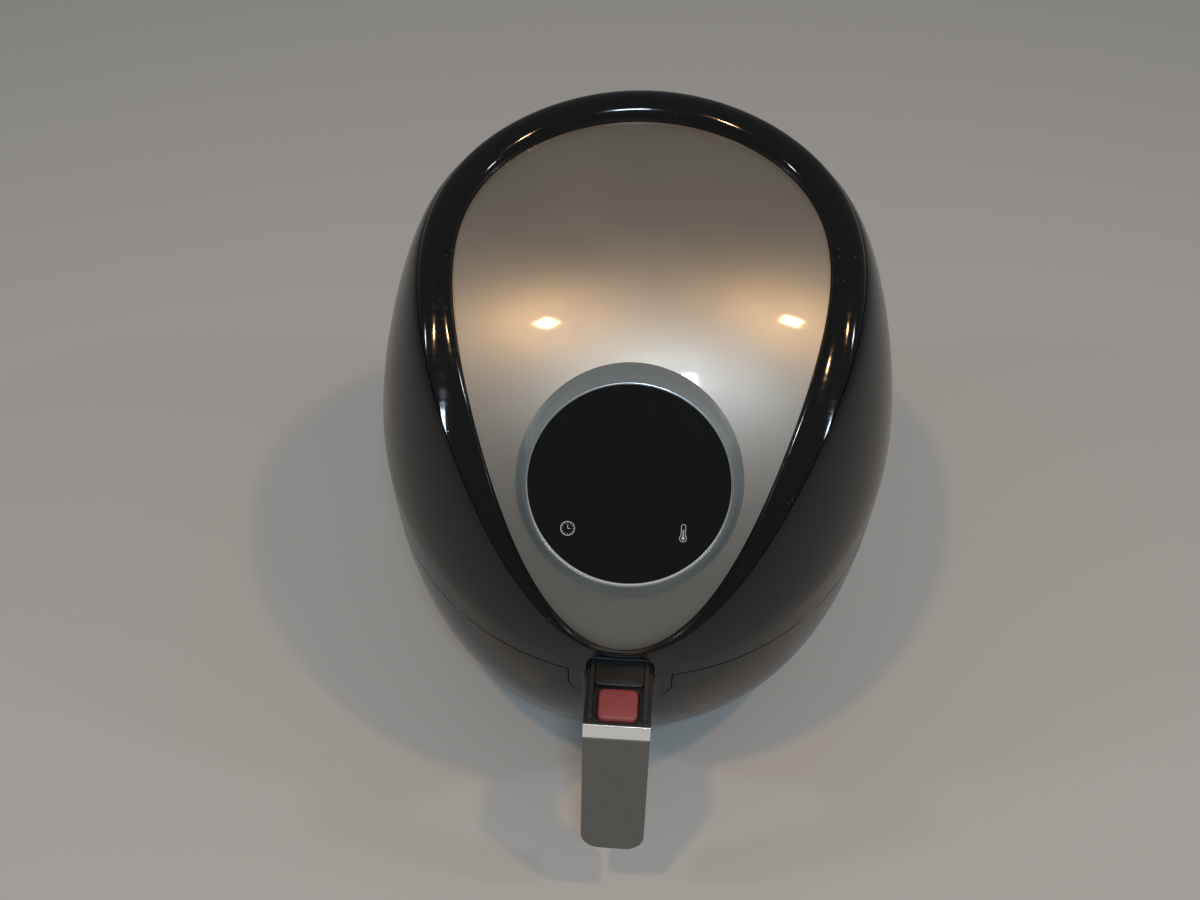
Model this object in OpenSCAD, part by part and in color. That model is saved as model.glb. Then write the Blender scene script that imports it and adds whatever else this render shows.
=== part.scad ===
// Egg-shaped countertop air fryer with a pull-out drawer, lift-out basket, slanted touch display
// and a hot-air fan above the heating coil. Millimetres, +Z up, the front towards -Y.

/* [Body] */
// Greatest width of the body
body_w = 280; // [272:1:290]
// Reach of the body in front of its upright axis
body_front = 158; // [155:1:162]
// Reach of the body behind its upright axis
body_back = 148; // [144:1:154]
// Width of the body where it meets the plinth
foot_w = 212; // [208:1:216]
// Reach of the foot of the body, in front of and behind the axis
foot_reach = 98; // [96:1:102]
// How soon the lower body swells above the foot
fullness = 2.7; // [2.5:0.1:3]
// Height of the widest level, at the sides and back
belly_z = 175; // [172:1:180]
// Height of the widest level at the very front
belly_front_z = 146; // [144:0.5:148]
// Roundness of the shoulder between the belly and the rim
shoulder = 1.28; // [1.1:0.02:1.4]
// Wall of the moulded shells
wall = 2.4; // [2:0.1:2.8]
// Height of the seam between the drawer and the upper housing
seam_z = 140; // [138:0.5:142]
// Gap at the seams between moulded shells
seam_gap = 0.4; // [0.3:0.05:0.6]

/* [Top panel] */
// Height of the panel at its back edge
panel_back_z = 305; // [298:1:312]
// Height of the panel at its front tip
panel_tip_z = 157.5; // [156:0.5:160]
// Place of the panel's back edge, behind the axis
panel_back_y = 74; // [70:1:78]
// Place of the panel's tip, in front of the axis
panel_tip_y = 154; // [152:0.5:155]
// How late the panel bends down towards the tip
panel_bend = 2.8; // [2.6:0.1:3]
// Mean half width of the drop-shaped panel
panel_half = 89; // [86:1:92]
// How much narrower the front half is than the back half
panel_taper = 21; // [18:1:24]
// Sideways crown of the panel, in millimetres of drop per square millimetre
panel_crown = 0.0011; // [0.0008:0.0001:0.0014]
// Thickness of the panel
panel_t = 2.4; // [2:0.1:2.8]
// Width of the raised rim around the panel, at the sides
rim_w = 16.5; // [15:0.5:18]
// Width of the rim at the back
rim_back_w = 22.5; // [21:0.5:24]
// Width of the rim at the tip
rim_tip_w = 4; // [3.5:0.5:6]
// Height of the rim above the panel's edge, at the sides
rim_h = 5; // [4:0.5:6]
// Height of the rim above the panel's back edge
rim_back_h = 10; // [9:0.5:11]
// Width of the ledge that carries the panel
ledge_w = 5; // [4:0.5:6]

/* [Display] */
// Place of the display's centre, in front of the axis
display_y = 106; // [104:0.5:107]
// Diameter of the display glass
glass_d = 96; // [94:1:98]
// Thickness of the display glass
glass_t = 2.2; // [1.8:0.1:2.6]
// Width of the sloping bezel around the glass
bezel_w = 5.6; // [5.2:0.2:6.4]
// Height of the bezel above the panel at its centre
bezel_h = 5.5; // [5:0.5:7]

/* [Drawer] */
// Depth in front of the axis at which the drawer front begins
split_y = 62; // [60:1:66]
// Outer diameter of the pan under its flange
pan_d = 204; // [198:1:206]
// Thickness of the pan's sheet
pan_t = 1.6; // [1.2:0.1:2]
// Height of the pan's floor above the table
pan_z = 27; // [26:0.5:29]
// Height of the pan's flange
pan_top_z = 128; // [124:1:129]
// Gap between the basket and the pan, all round under their rims
basket_gap = 7; // [6.5:0.5:10]
// Gap between the basket's floor and the pan's floor
basket_lift = 9; // [7:1:12]
// Thickness of the basket's sheet
basket_t = 1.2; // [1:0.1:1.5]
// Diameter of the holes in the basket
basket_hole = 6; // [5:0.5:7]

/* [Handle] */
// Width of the handle
handle_w = 33; // [31:0.5:34]
// Height of the handle's top above the table
handle_top_z = 142; // [141.5:0.5:142.5]
// Place of the handle's top front corner, in front of the axis
handle_corner_y = 187; // [184:1:190]
// How far the handle leans out between its top and its lower end
handle_lean = 24; // [20:1:28]
// Height of the handle's lower end above the table
handle_end_z = 51.5; // [48:0.5:54]
// Thickness of the handle from front to back
handle_t = 15; // [13:0.5:16]
// Width of the saddle that joins the handle to the basket
saddle_w = 52; // [50:1:54]
// Width of the release button
button_w = 20; // [18:0.5:20.5]
// Length of the release button from front to back
button_l = 17; // [15:0.5:17.5]
// Travel of the release button
button_travel = 2.5; // [1.5:0.5:2.5]

/* [Hot air] */
// Diameter of the heat dome over the basket
dome_d = 200; // [194:1:204]
// Height of the dome's top above the table
dome_top_z = 180; // [178:1:182]
// Diameter of the heating coil's tube
coil_tube_d = 7; // [6:0.5:8]
// Diameter of the hot-air fan
hot_fan_d = 116; // [110:1:120]
// Diameter of the cooling fan
cool_fan_d = 96; // [90:1:100]
// Diameter of the fan shaft
shaft_d = 8; // [6:0.5:9]
// Radial running clearance of the fan shaft in its bushes
shaft_fit = 0.05; // [0.02:0.01:0.1]
// Diameter of the motor
motor_d = 62; // [56:1:66]

/* [Base] */
// Height of the rubber feet
foot_h = 6; // [5:0.5:7]
// Diameter of the rubber feet
foot_d = 20; // [18:1:22]
// Height of the base tray
tray_h = 12; // [11:0.5:13]
// Diameter of the mains cord that the gland takes
cord_d = 7; // [6:0.5:8]

/* [Hidden] */

fit = 0.3;                                  // clearance between pieces that don't touch
column_step = 5;                            // degrees between columns of the shell grids
pocket_w = handle_w + 1.2;                  // opening in the upper housing over the handle
pocket_angle = asin(pocket_w / body_w);     // its half angle seen from the axis
lower_z = foot_h + tray_h;                  // bottom edge of the lower housing
drawer_low_z = lower_z + 0.8;               // bottom edge of the drawer front
drawer_high_z = seam_z - seam_gap;          // top edge of the drawer front
upper_low_z = seam_z + seam_gap;            // bottom edge of the upper housing
outline_mid_y = (panel_back_y - panel_tip_y) / 2;
outline_half_l = (panel_back_y + panel_tip_y) / 2;
panel_drop = panel_back_z - panel_tip_z;
bezel_d = glass_d + 2 * bezel_w + 1.2;
hole_r = bezel_d / 2 + 0.8;                 // opening in the panel around the bezel
basket_d = pan_d - 2 * basket_gap;
front_t = wall + 0.6;                       // the drawer front is a little thicker than the housing
rib_gap = 0.9;                              // between the drawer front and the frame behind it
handle_front_y = handle_corner_y + handle_lean;

// The drawing's origin is the body's upright axis on the table. The part's origin is the
// middle of its footprint, so every piece is moved by this much along Y.
frame_y = (handle_front_y - body_back) / 2;

// ---- the body's surface ------------------------------------------------------------------
// Azimuth t runs from the back (0) over the right side (90) to the front (180).

function frontness(t) = max(0, -cos(t));
function backness(t) = max(0, cos(t));

function belly(t) = belly_z - (belly_z - belly_front_z) * pow(frontness(t), 2);

// A point of the lower body at azimuth t and height z, moved inwards by d
function lower(t, z, d = 0) =
    let (g = 1 - pow(1 - min(1, z / belly(t)), fullness),
         side = foot_w / 2 + (body_w - foot_w) / 2 * g,
         reach = foot_reach + ((cos(t) > 0 ? body_back : body_front) - foot_reach) * g)
    [(side - d) * sin(t), (reach - d) * cos(t), z];

function plan(z, d = 0) = [for (t = [0 : column_step / 2 : 359.9]) let (p = lower(t, z, d)) [p.x, p.y]];

// Depth of the lower body in front of the axis at x and height z, moved inwards by d
function depth_at(x, z, d = 0) = -lower(180, z, d).y * sqrt(1 - pow(x / lower(90, z, d).x, 2));

// Azimuth at which the lower body, moved inwards by d, crosses the plane y = -depth at height z
function split_angle(z, depth, d = 0, t = 115, tries = 4) =
    tries == 0 ? t : split_angle(z, depth, d, acos(-depth * cos(t) / lower(t, z, d).y), tries - 1);

// Half width of the lower body at height z in that plane
function half_at(z, depth, d = 0) = lower(split_angle(z, depth, d), z, d).x;

// ---- the top panel's surface -------------------------------------------------------------

function panel_run(y) = max(0, (panel_back_y - y) / (2 * outline_half_l));
function panel_z(x, y) = panel_back_z - panel_drop * pow(panel_run(y), panel_bend) - panel_crown * x * x;
function panel_slope(y) = panel_drop * panel_bend / (2 * outline_half_l) * pow(panel_run(y), panel_bend - 1);
function below_panel(x, y, d) = panel_z(x, y) - d * sqrt(1 + pow(panel_slope(y), 2));

// The point at depth d below the panel's surface, square to it, under [x, y]
function under_panel(p, d) =
    let (s = panel_slope(p.y), l = sqrt(1 + s * s))
    [p.x, p.y + d * s / l, panel_z(p.x, p.y) - d / l];

// The panel's outline at azimuth t: a drop, wide behind and narrow in front
outline_square = 5.5;                       // fills out both ends
outline_nose = 9.5;                         // fills out the front end and slims the back end
function outline(t) =
    let (s = -cos(t))
    [sin(t) * (panel_half - panel_taper * s + outline_square * s * s + outline_nose * pow(s, 3)),
     outline_mid_y - outline_half_l * s];

function outline_normal(t) =
    let (d = outline(t + 0.5) - outline(t - 0.5), l = norm(d))
    [-d.y / l, d.x / l];

// A point at distance h outside the outline (inside where h is negative)
function beside(t, h) = outline(t) + h * outline_normal(t);

// From 0 where the rim is a separate bead to 1 where it runs into the body
crease = 1.5;                               // the bead's outer edge lies this much below the panel's
function fade(t) = let (q = min(1, max(0, (0.05 - cos(t)) / 0.55))) q * q * (3 - 2 * q);
function rim_width(t) =
    rim_w + (rim_tip_w - rim_w) * pow(frontness(t), 2) + (rim_back_w - rim_w) * pow(backness(t), 2);
function rim_base_z(t) =
    let (o = outline(t), z = panel_z(o.x, o.y))
    z - crease * (1 - fade(t)) + rim_rise(t) * fade(t);
function rim_rise(t) = (rim_h + (rim_back_h - rim_h) * pow(backness(t), 2)) * (1 - 0.5 * fade(t));

// The upper body at azimuth t, from the belly (phi = 0) to the rim's outer crease (phi = 90)
function upper(t, phi, d = 0) =
    let (w = lower(t, belly(t), d), e = beside(t, rim_width(t) - d), top = rim_base_z(t) - d,
         c = pow(max(0, cos(phi)), shoulder), s = pow(max(0, sin(phi)), shoulder))
    [e.x + (w.x - e.x) * c, e.y + (w.y - e.y) * c, w.z + (top - w.z) * s];

// The rim's section at azimuth t as [distance outside the outline, height]
function rim_section(t) =
    let (o = outline(t), zo = panel_z(o.x, o.y), f = fade(t), w = rim_width(t), l = beside(t, -ledge_w))
    concat([for (q = [0.02, 0.1, 0.28, 0.5, 0.72, 0.9, 1])
        [w * (1 - q),
         zo + (1 - f) * (rim_rise(t) * sqrt(1 - pow(2 * q - 1, 2)) - crease * (1 - q))
            + f * rim_rise(t) * sqrt(1 - q * q)]],
        [[0, below_panel(o.x, o.y, panel_t + fit)], [-ledge_w, below_panel(l.x, l.y, panel_t + fit)]]);

// The same section moved inwards by the wall
function rim_inner(t) =
    let (s = rim_section(t), n = len(s))
    concat([[rim_width(t) - wall, rim_base_z(t) - wall]],
        [for (i = [1 : n - 1])
            let (a = s[max(0, i - 1)], b = s[min(n - 1, i + 1)], d = (b - a) / norm(b - a))
            s[i] + wall * [-d.y, d.x]]);

// Columns of the shell grids, with two of them on the sides of the handle pocket
function columns() = concat([for (t = [0 : column_step : 170]) t],
    [for (k = [-1 : 0.5 : 1]) 180 + k * pocket_angle],
    [for (t = [190 : column_step : 359.9]) t]);

// ---- helpers -----------------------------------------------------------------------------

// A closed wall between two matching grids of points. Cells where keep(row, column) is false
// stay open. With ring, the last column joins the first.
module wall_between(outer, inner, ring = true, keep = function(i, j) true) {
    rows = len(outer);
    cols = len(outer[0]);
    cells = ring ? cols : cols - 1;
    there = function(i, j) i >= 0 && i < rows - 1 && (ring || (j >= 0 && j < cells))
        && keep(i, (j + cells) % cells);
    at = function(side, i, j) (side * rows + i) * cols + j % cols;
    quad = function(a, b, c, d) [[a, b, c], [a, c, d]];
    faces = [for (i = [0 : rows - 2], j = [0 : cells - 1]) if (there(i, j)) each concat(
        quad(at(0, i, j), at(0, i, j + 1), at(0, i + 1, j + 1), at(0, i + 1, j)),
        quad(at(1, i, j), at(1, i + 1, j), at(1, i + 1, j + 1), at(1, i, j + 1)),
        there(i - 1, j) ? [] : quad(at(0, i, j + 1), at(0, i, j), at(1, i, j), at(1, i, j + 1)),
        there(i + 1, j) ? []
            : quad(at(0, i + 1, j), at(0, i + 1, j + 1), at(1, i + 1, j + 1), at(1, i + 1, j)),
        there(i, j + 1) ? []
            : quad(at(0, i + 1, j + 1), at(0, i, j + 1), at(1, i, j + 1), at(1, i + 1, j + 1)),
        there(i, j - 1) ? [] : quad(at(0, i, j), at(0, i + 1, j), at(1, i + 1, j), at(1, i, j)))];
    polyhedron([each for (row = concat(outer, inner)) row], faces, convexity = 8);
}

module tube(d, t, h) difference() {
    cylinder(d = d, h = h, $fn = 96);
    translate([0, 0, -1]) cylinder(d = d - 2 * t, h = h + 2, $fn = 96);
}

module rounded_plate(w, l, r, h) linear_extrude(h) {
    square([w - 2 * r, l], center = true);
    square([w, l - 2 * r], center = true);
    for (x = [-1, 1], y = [-1, 1]) translate([x * (w / 2 - r), y * (l / 2 - r)]) circle(r, $fn = 32);
}

// A box between two opposite corners
module block(a, b) translate(a) cube(b - a);

// A [y, z] outline extruded to width w across the middle plane
module side_view(points, w) translate([-w / 2, 0, 0]) rotate([90, 0, 90]) linear_extrude(w) polygon(points);

// ---- upper housing and top panel ---------------------------------------------------------

belly_rows = 3;
shoulder_rows = [0, 12, 25, 38, 52, 66, 79, 88];
grille_rows = [4, 5];                       // cells of the upper housing left open for the rear grille
grille_angle = 20;                          // half angle of that window
pocket_rows = 8;                            // cells left open over the handle, from the bottom edge

function upper_grid(d) = concat(
    [for (k = [0 : belly_rows - 1]) [for (t = columns())
        lower(t, upper_low_z + (belly(t) - upper_low_z) * k / belly_rows, d)]],
    [for (phi = shoulder_rows) [for (t = columns()) upper(t, phi, d)]]);

module upper_housing() color("#121214") {
    all = columns();
    in_grille = function(i, j) i >= grille_rows[0] && i <= grille_rows[1]
        && (all[j] < grille_angle || all[j] >= 360 - grille_angle);
    in_pocket = function(i, j) i < pocket_rows && abs(all[j] + 1 - 180) < pocket_angle;
    wall_between(upper_grid(0), upper_grid(wall), keep = function(i, j) !in_grille(i, j) && !in_pocket(i, j));
}

module top_rim() color("#0c0c0e") {
    place = function(sections) [for (i = [0 : len(sections[0]) - 1]) [for (k = [0 : len(sections) - 1])
        let (t = columns()[k], q = sections[k][i], p = beside(t, q.x)) [p.x, p.y, q.y]]];
    wall_between(place([for (t = columns()) rim_section(t)]), place([for (t = columns()) rim_inner(t)]));
}

display_z = panel_z(0, -display_y);
display_tilt = atan(panel_slope(-display_y));
module at_display() translate([0, -display_y, display_z]) rotate([display_tilt, 0, 0]) children();

// The point of the panel's surface that lies over p along the display's axis
function on_panel(p, tries = 6) =
    tries == 0 ? p :
    let (n = [0, -sin(display_tilt), cos(display_tilt)])
    on_panel(p - n * (p.z - panel_z(p.x, p.y)) * n.z, tries - 1);

function display_hole(t) = on_panel([hole_r * sin(t), -display_y + hole_r * cos(t) * cos(display_tilt),
    display_z + hole_r * cos(t) * sin(display_tilt)]);

module top_panel() color("#b9b7b3") {
    steps = 7;
    grid = function(d) [for (k = [0 : steps]) [for (t = [0 : column_step : 359.9])
        let (a = beside(t, -fit), b = display_hole(t), p = a + ([b.x, b.y] - a) * k / steps)
        under_panel(p, d)]];
    wall_between(grid(0), grid(panel_t));
}

glass_r = glass_d / 2;
ring_t = 1.1;
bezel_skirt = 9;                            // depth of the bezel and the holder's top below the panel
holder_depth = 15;
board_t = 1.6;

module display_bezel() color("#c3c8cc") at_display() rotate_extrude($fn = 96) polygon([
    [glass_r + 0.1, -bezel_skirt], [bezel_d / 2, -bezel_skirt], [bezel_d / 2, -2.2],
    [glass_r + 1.4, bezel_h - 0.5], [glass_r + 0.9, bezel_h], [glass_r + 0.1, bezel_h]]);

module glass_ring() color("#e6e6e6") at_display()
    translate([0, 0, bezel_h - 3.2]) tube(glass_d, ring_t, 2.9);

module display_glass() color("#08080a") at_display()
    translate([0, 0, bezel_h - 0.8 - glass_t]) cylinder(r = glass_r - ring_t - 0.1, h = glass_t, $fn = 96);

module display_holder() color("#202022") at_display() {
    top = bezel_h - 0.9 - glass_t;
    translate([0, 0, -holder_depth]) tube(glass_d - 0.3, 2, holder_depth + top - 0.8);
    translate([0, 0, -holder_depth]) cylinder(d = glass_d - 3, h = 1.6, $fn = 96);
    for (a = [45 : 90 : 359]) rotate(a) translate([glass_r - 8, 0, -holder_depth])
        cylinder(d = 5, h = 7, $fn = 32);
    translate([0, 0, top - 1.6]) tube(glass_d - 2.6, 4, 1.5);
}

module control_board() color("#1f5a33") at_display() translate([0, 0, 7 - holder_depth]) {
    cylinder(r = glass_r - 2.8, h = board_t, $fn = 96);
    translate([-14, -10, board_t]) cube([28, 20, 3]);
    for (x = [-26, 26]) translate([x, 4, board_t]) cylinder(d = 9, h = 3, $fn = 32);
}

pocket_back_y = body_front - 15;
pocket_roof_z = handle_top_z + 5.8;
pocket_wall = 1.4;
module handle_pocket() color("#0a0a0b") difference() {
    outer_x = pocket_w / 2 + pocket_wall;
    block([-outer_x, -depth_at(outer_x, seam_z, wall + 0.4), upper_low_z + 0.2],
        [outer_x, -pocket_back_y + pocket_wall, pocket_roof_z + pocket_wall]);
    block([-pocket_w / 2, -body_front, upper_low_z - 1], [pocket_w / 2, -pocket_back_y, pocket_roof_z]);
}

module rear_grille() color("#101012") {
    slats = 13;
    across = 12;
    edge = 0.4;
    from = shoulder_rows[grille_rows[0] - belly_rows] + edge;
    to = shoulder_rows[grille_rows[1] + 1 - belly_rows] - edge;
    grid = function(d) [for (i = [0 : slats]) [for (j = [0 : across])
        upper((grille_angle - edge) * (2 * j / across - 1) + 360, from + (to - from) * i / slats, d)]];
    wall_between(grid(0), grid(wall), ring = false,
        keep = function(i, j) i % 2 == 0 || j == 0 || j == across - 1 || j == across / 2);
}

duct_w = 80;
duct_h = 36;
duct_t = 2;
duct_y = [dome_d / 2 - 30, body_back - 18]; // from over the dome's edge to behind the rear grille
module exhaust_duct() color("#8d9094") difference() {
    low = dome_top_z + 0.1;
    block([-duct_w / 2, duct_y[0], low], [duct_w / 2, duct_y[1], low + duct_h]);
    block([-duct_w / 2 + duct_t, duct_y[0] - 1, low + duct_t],
        [duct_w / 2 - duct_t, duct_y[1] + 1, low + duct_h - duct_t]);
}

// ---- lower housing and base --------------------------------------------------------------

gland_z = 46;
gland_lean = atan((lower(0, gland_z + 1).y - lower(0, gland_z - 1).y) / 2);
gland_d = cord_d + 6;
module at_gland() translate(lower(0, gland_z)) rotate([-90 - gland_lean, 0, 0]) children();

// Rows of a lower shell, whose columns are spread between two azimuths that depend on height
function lower_grid(levels, shares, from, d) =
    [for (z = levels) let (a = from(z, d)) [for (u = shares) lower(a[0] + (a[1] - a[0]) * u, z, d)]];

module lower_housing() color("#121214") difference() {
    levels = [lower_z, 26, 36, 50, 66, 84, 103, 122, seam_z];
    shares = [for (k = [0 : 44]) k / 44];
    span = function(z, d) let (a = split_angle(z, split_y, d)) [-a, a];
    wall_between(lower_grid(levels, shares, span, 0), lower_grid(levels, shares, span, wall), ring = false);
    at_gland() translate([0, 0, -20]) cylinder(d = gland_d + 0.2, h = 40, $fn = 48);
}

module cord_gland() color("#1c1c1e") at_gland() difference() {
    union() {
        translate([0, 0, -wall - 6]) cylinder(d = gland_d, h = wall + 7, $fn = 48);
        translate([0, 0, 0.7]) cylinder(d = gland_d + 6, h = 2.5, $fn = 48);
        translate([0, 0, -wall - 6]) cylinder(d = gland_d + 3, h = 5, $fn = 48);
    }
    translate([0, 0, -wall - 7]) cylinder(d = cord_d + 0.4, h = 20, $fn = 48);
}

frame_t = 3;
module front_frame() color("#1a1a1c") difference() {
    levels = [lower_z + 1, 26, 36, 50, 66, 84, 103, 122, seam_z];
    shape = function(d) concat([for (z = levels) [half_at(z, split_y, wall + d), z]],
        [for (k = [len(levels) - 1 : -1 : 0]) [-half_at(levels[k], split_y, wall + d), levels[k]]]);
    opening = shape(5 + fit);
    translate([0, -split_y + frame_t, 0]) rotate([90, 0, 0]) linear_extrude(frame_t) difference() {
        polygon(shape(1.2));
        intersection() {
            polygon([for (p = opening) p.y == seam_z ? [p.x, p.y + 5] : p]);
            translate([-body_w / 2, drawer_low_z + 3]) square([body_w, seam_z]);
        }
    }
}

flange_r = pan_d / 2 + 3;
liner_r = flange_r + 3.5;
liner_low_z = pan_z + 15;
switch_z = pan_top_z + pan_t / 2;
plunger_d = 3.6;
module chamber_liner() color("#a7a9ab") difference() {
    translate([0, 0, liner_low_z]) linear_extrude(upper_low_z + 0.1 - liner_low_z) intersection() {
        difference() {
            liner_plan(liner_r + sheet_t);
            liner_plan(liner_r);
        }
        behind(-split_y + frame_t + 0.2);
    }
    translate([0, flange_r, switch_z]) rotate([-90, 0, 0]) cylinder(d = plunger_d + 1.4, h = 10, $fn = 32);
}
module liner_plan(r) {
    circle(r, $fn = 120);
    translate([-r, -r]) square([2 * r, r]);
}
module behind(y) translate([-body_w, y]) square([2 * body_w, 2 * body_back]);

module chamber_floor() color("#9a9c9e") translate([0, 0, lower_z + 0.1]) linear_extrude(1.4) intersection() {
    polygon(plan(lower_z, wall + fit));
    behind(-split_y + frame_t + fit);
}

runner_x = 55;
runner_w = 6;
runner_back_y = 83;
module drawer_runners() color("#8f9194") for (x = [-1, 1])
    block([x * runner_x - runner_w / 2, -split_y + frame_t + 1, lower_z + 1.6],
        [x * runner_x + runner_w / 2, runner_back_y, pan_z - fit]);

module at_four(x, y) for (i = [-1, 1], j = [-1, 1]) translate([i * x, j * y, 0]) children();
module at_feet() at_four(foot_w / 2 - 36, foot_reach - 32) children();
module at_base_screws() at_four(foot_w / 2 - 70, foot_reach - 14) children();

module base_tray() color("#141416") {
    difference() {
        translate([0, 0, foot_h]) linear_extrude(tray_h) polygon(plan(lower_z, 1.5));
        translate([0, 0, foot_h + 3]) linear_extrude(tray_h) polygon(plan(lower_z, 1.5 + wall));
        at_feet() cylinder(d = 8, h = foot_h + 4, $fn = 32);
        at_base_screws() cylinder(d = 4.4, h = foot_h + 4, $fn = 32);
    }
    at_base_screws() translate([0, 0, foot_h + 3]) tube(10, 2.8, tray_h - 3);
}

module rubber_feet() color("#222224") at_feet() {
    cylinder(d = foot_d, h = foot_h - 0.05, $fn = 48);
    cylinder(d = 7.6, h = foot_h + 3, $fn = 32);
}

module base_screws() color("#b0b0b0") at_base_screws() difference() {
    union() {
        translate([0, 0, foot_h - 1.8]) cylinder(d = 7.5, h = 1.7, $fn = 32);
        translate([0, 0, foot_h - 1]) cylinder(d = 3.8, h = tray_h, $fn = 32);
    }
    for (a = [0, 90]) rotate(a) translate([-2, -0.5, foot_h - 2]) cube([4, 1, 1.2]);
}

// ---- hot-air section ---------------------------------------------------------------------

plate_t = 2;
plate_z = upper_low_z + 0.2;
plate_top = plate_z + plate_t;
mouth_d = dome_d - 18;
module chamber_top() color("#9a9c9e") translate([0, 0, plate_z]) linear_extrude(plate_t) difference() {
    polygon(plan(seam_z, wall + fit));
    circle(d = mouth_d, $fn = 120);
    translate([-saddle_w / 2 - 2, -body_front]) square([saddle_w + 4, body_front - 134]);
}

sheet_t = 1;
bush_d = shaft_d + 8;
sensor_at = [70, 45];
module heat_dome() color("#b4b6b8") difference() {
    rotate_extrude($fn = 120) polygon([[mouth_d / 2 + 1, plate_top + 0.1], [dome_d / 2 + 6, plate_top + 0.1],
        [dome_d / 2 + 6, plate_top + 0.1 + sheet_t], [dome_d / 2, plate_top + 0.1 + sheet_t],
        [dome_d / 2, dome_top_z - 6], [dome_d / 2 - 6, dome_top_z], [bush_d / 2 + 0.1, dome_top_z],
        [bush_d / 2 + 0.1, dome_top_z - sheet_t], [dome_d / 2 - 6.4, dome_top_z - sheet_t],
        [dome_d / 2 - sheet_t, dome_top_z - 6.4], [dome_d / 2 - sheet_t, plate_top + 0.1 + sheet_t],
        [mouth_d / 2 + 1, plate_top + 0.1 + sheet_t]]);
    translate([sensor_at.x, sensor_at.y, dome_top_z - 5]) cylinder(d = 3.6, h = 10, $fn = 32);
}

coil_z = plate_top + 9.4;
coil_pitch = 15;
coil_rings = [for (k = [2, 1, 0]) dome_d / 2 - 28 - k * coil_pitch];
lead_l = 14;
module heating_coil() color("#55514d") {
    link_d = coil_tube_d - 1;
    for (r = coil_rings) rotate_extrude($fn = 96) translate([r, coil_z]) circle(d = coil_tube_d, $fn = 32);
    for (k = [0, 1]) rotate(90 + 180 * k) translate([coil_rings[k], 0, coil_z])
        rotate([0, 90, 0]) cylinder(d = link_d, h = coil_rings[k + 1] - coil_rings[k], $fn = 32);
    for (a = [-8, 8]) rotate(a) {
        translate([coil_rings[2], 0, coil_z]) rotate([0, 90, 0]) cylinder(d = link_d, h = lead_l, $fn = 32);
        translate([coil_rings[2] + lead_l, 0, coil_z]) sphere(d = link_d, $fn = 32);
        translate([coil_rings[2] + lead_l, 0, coil_z])
            cylinder(d = link_d, h = dome_top_z - sheet_t - coil_z - 0.1, $fn = 32);
    }
}

wire_d = 2;
guard_pitch = 18;
guard_rings = [for (r = [mouth_d / 2 - 15 : -guard_pitch : 20]) r];
guard_eye = guard_rings[len(guard_rings) - 1];
module coil_guard() color("#c8c8c8") translate([0, 0, plate_z + wire_d / 2]) {
    for (r = concat(guard_rings, [mouth_d / 2 - wire_d / 2 - 0.1]))
        rotate_extrude($fn = 96) translate([r, 0]) circle(d = wire_d, $fn = 24);
    for (a = [22.5 : 45 : 359]) rotate(a) translate([guard_eye - 1, 0, 0.7 * wire_d])
        rotate([0, 90, 0]) cylinder(d = wire_d, h = mouth_d / 2 - guard_eye + 0.5, $fn = 24);
}

fan_top_z = dome_top_z - 7;
module hot_fan() color("#b9bbbd") difference() {
    union() {
        translate([0, 0, fan_top_z - 1]) cylinder(d = hot_fan_d, h = 1, $fn = 96);
        translate([0, 0, fan_top_z - 13]) cylinder(d = 18, h = 13, $fn = 48);
        for (a = [0 : 30 : 359]) rotate(a) translate([18, -0.5, fan_top_z - 12])
            rotate([0, 0, 18]) cube([hot_fan_d / 2 - 20, 1, 11.5]);
    }
    cylinder(d = shaft_d, h = panel_back_z, $fn = 48);
}

cool_z = dome_top_z + 6;
module cooling_fan() color("#303234") difference() {
    union() {
        translate([0, 0, cool_z]) cylinder(d = 24, h = 10, $fn = 48);
        for (a = [0 : 40 : 359]) rotate(a) translate([10, 0, cool_z + 5]) rotate([35, 0, 0])
            translate([0, -5.5, -0.6]) cube([cool_fan_d / 2 - 10, 11, 1.2]);
    }
    cylinder(d = shaft_d, h = panel_back_z, $fn = 48);
}

motor_z = dome_top_z + 22;
motor_h = 40;
bracket_d = motor_d + 66;
module fan_shaft() color("#d0d0d0") {
    low = fan_top_z - 14;
    translate([0, 0, low]) cylinder(d = shaft_d, h = motor_z + motor_h + 4 - low, $fn = 48);
    translate([0, 0, fan_top_z - 17]) cylinder(d = shaft_d + 5, h = 3.9, $fn = 6);
}

module motor() color("#7d8286") difference() {
    union() {
        translate([0, 0, motor_z + 0.1]) cylinder(d = motor_d, h = motor_h, $fn = 96);
        translate([-motor_d / 2 - 4, -10, motor_z + 12]) cube([motor_d + 8, 20, 16]);
    }
    translate([0, 0, motor_z - 1]) cylinder(d = bush_d + 0.2, h = motor_h + 4, $fn = 48);
}

module motor_bracket() color("#a7a9ab") {
    difference() {
        translate([0, 0, motor_z - 2]) cylinder(d = bracket_d, h = 2, $fn = 96);
        translate([0, 0, motor_z - 3]) cylinder(d = bush_d + 6, h = 4, $fn = 48);
        for (a = [0 : 60 : 359]) rotate(a) translate([bracket_d / 2 - 18, 0, motor_z - 3])
            cylinder(d = 16, h = 4, $fn = 48);
    }
    for (a = [30 : 120 : 359]) rotate(a) translate([bracket_d / 2 - 6, 0, dome_top_z + 0.1])
        cylinder(d = 8, h = motor_z - dome_top_z - 2, $fn = 32);
}

bush_l = 8;
module shaft_bushes() color("#b08d57")
    for (z = [dome_top_z - 3, motor_z + 0.2, motor_z + motor_h - bush_l]) translate([0, 0, z]) difference() {
        cylinder(d = bush_d, h = bush_l, $fn = 48);
        translate([0, 0, -1]) cylinder(d = shaft_d + 2 * shaft_fit, h = bush_l + 2, $fn = 48);
    }

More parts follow.
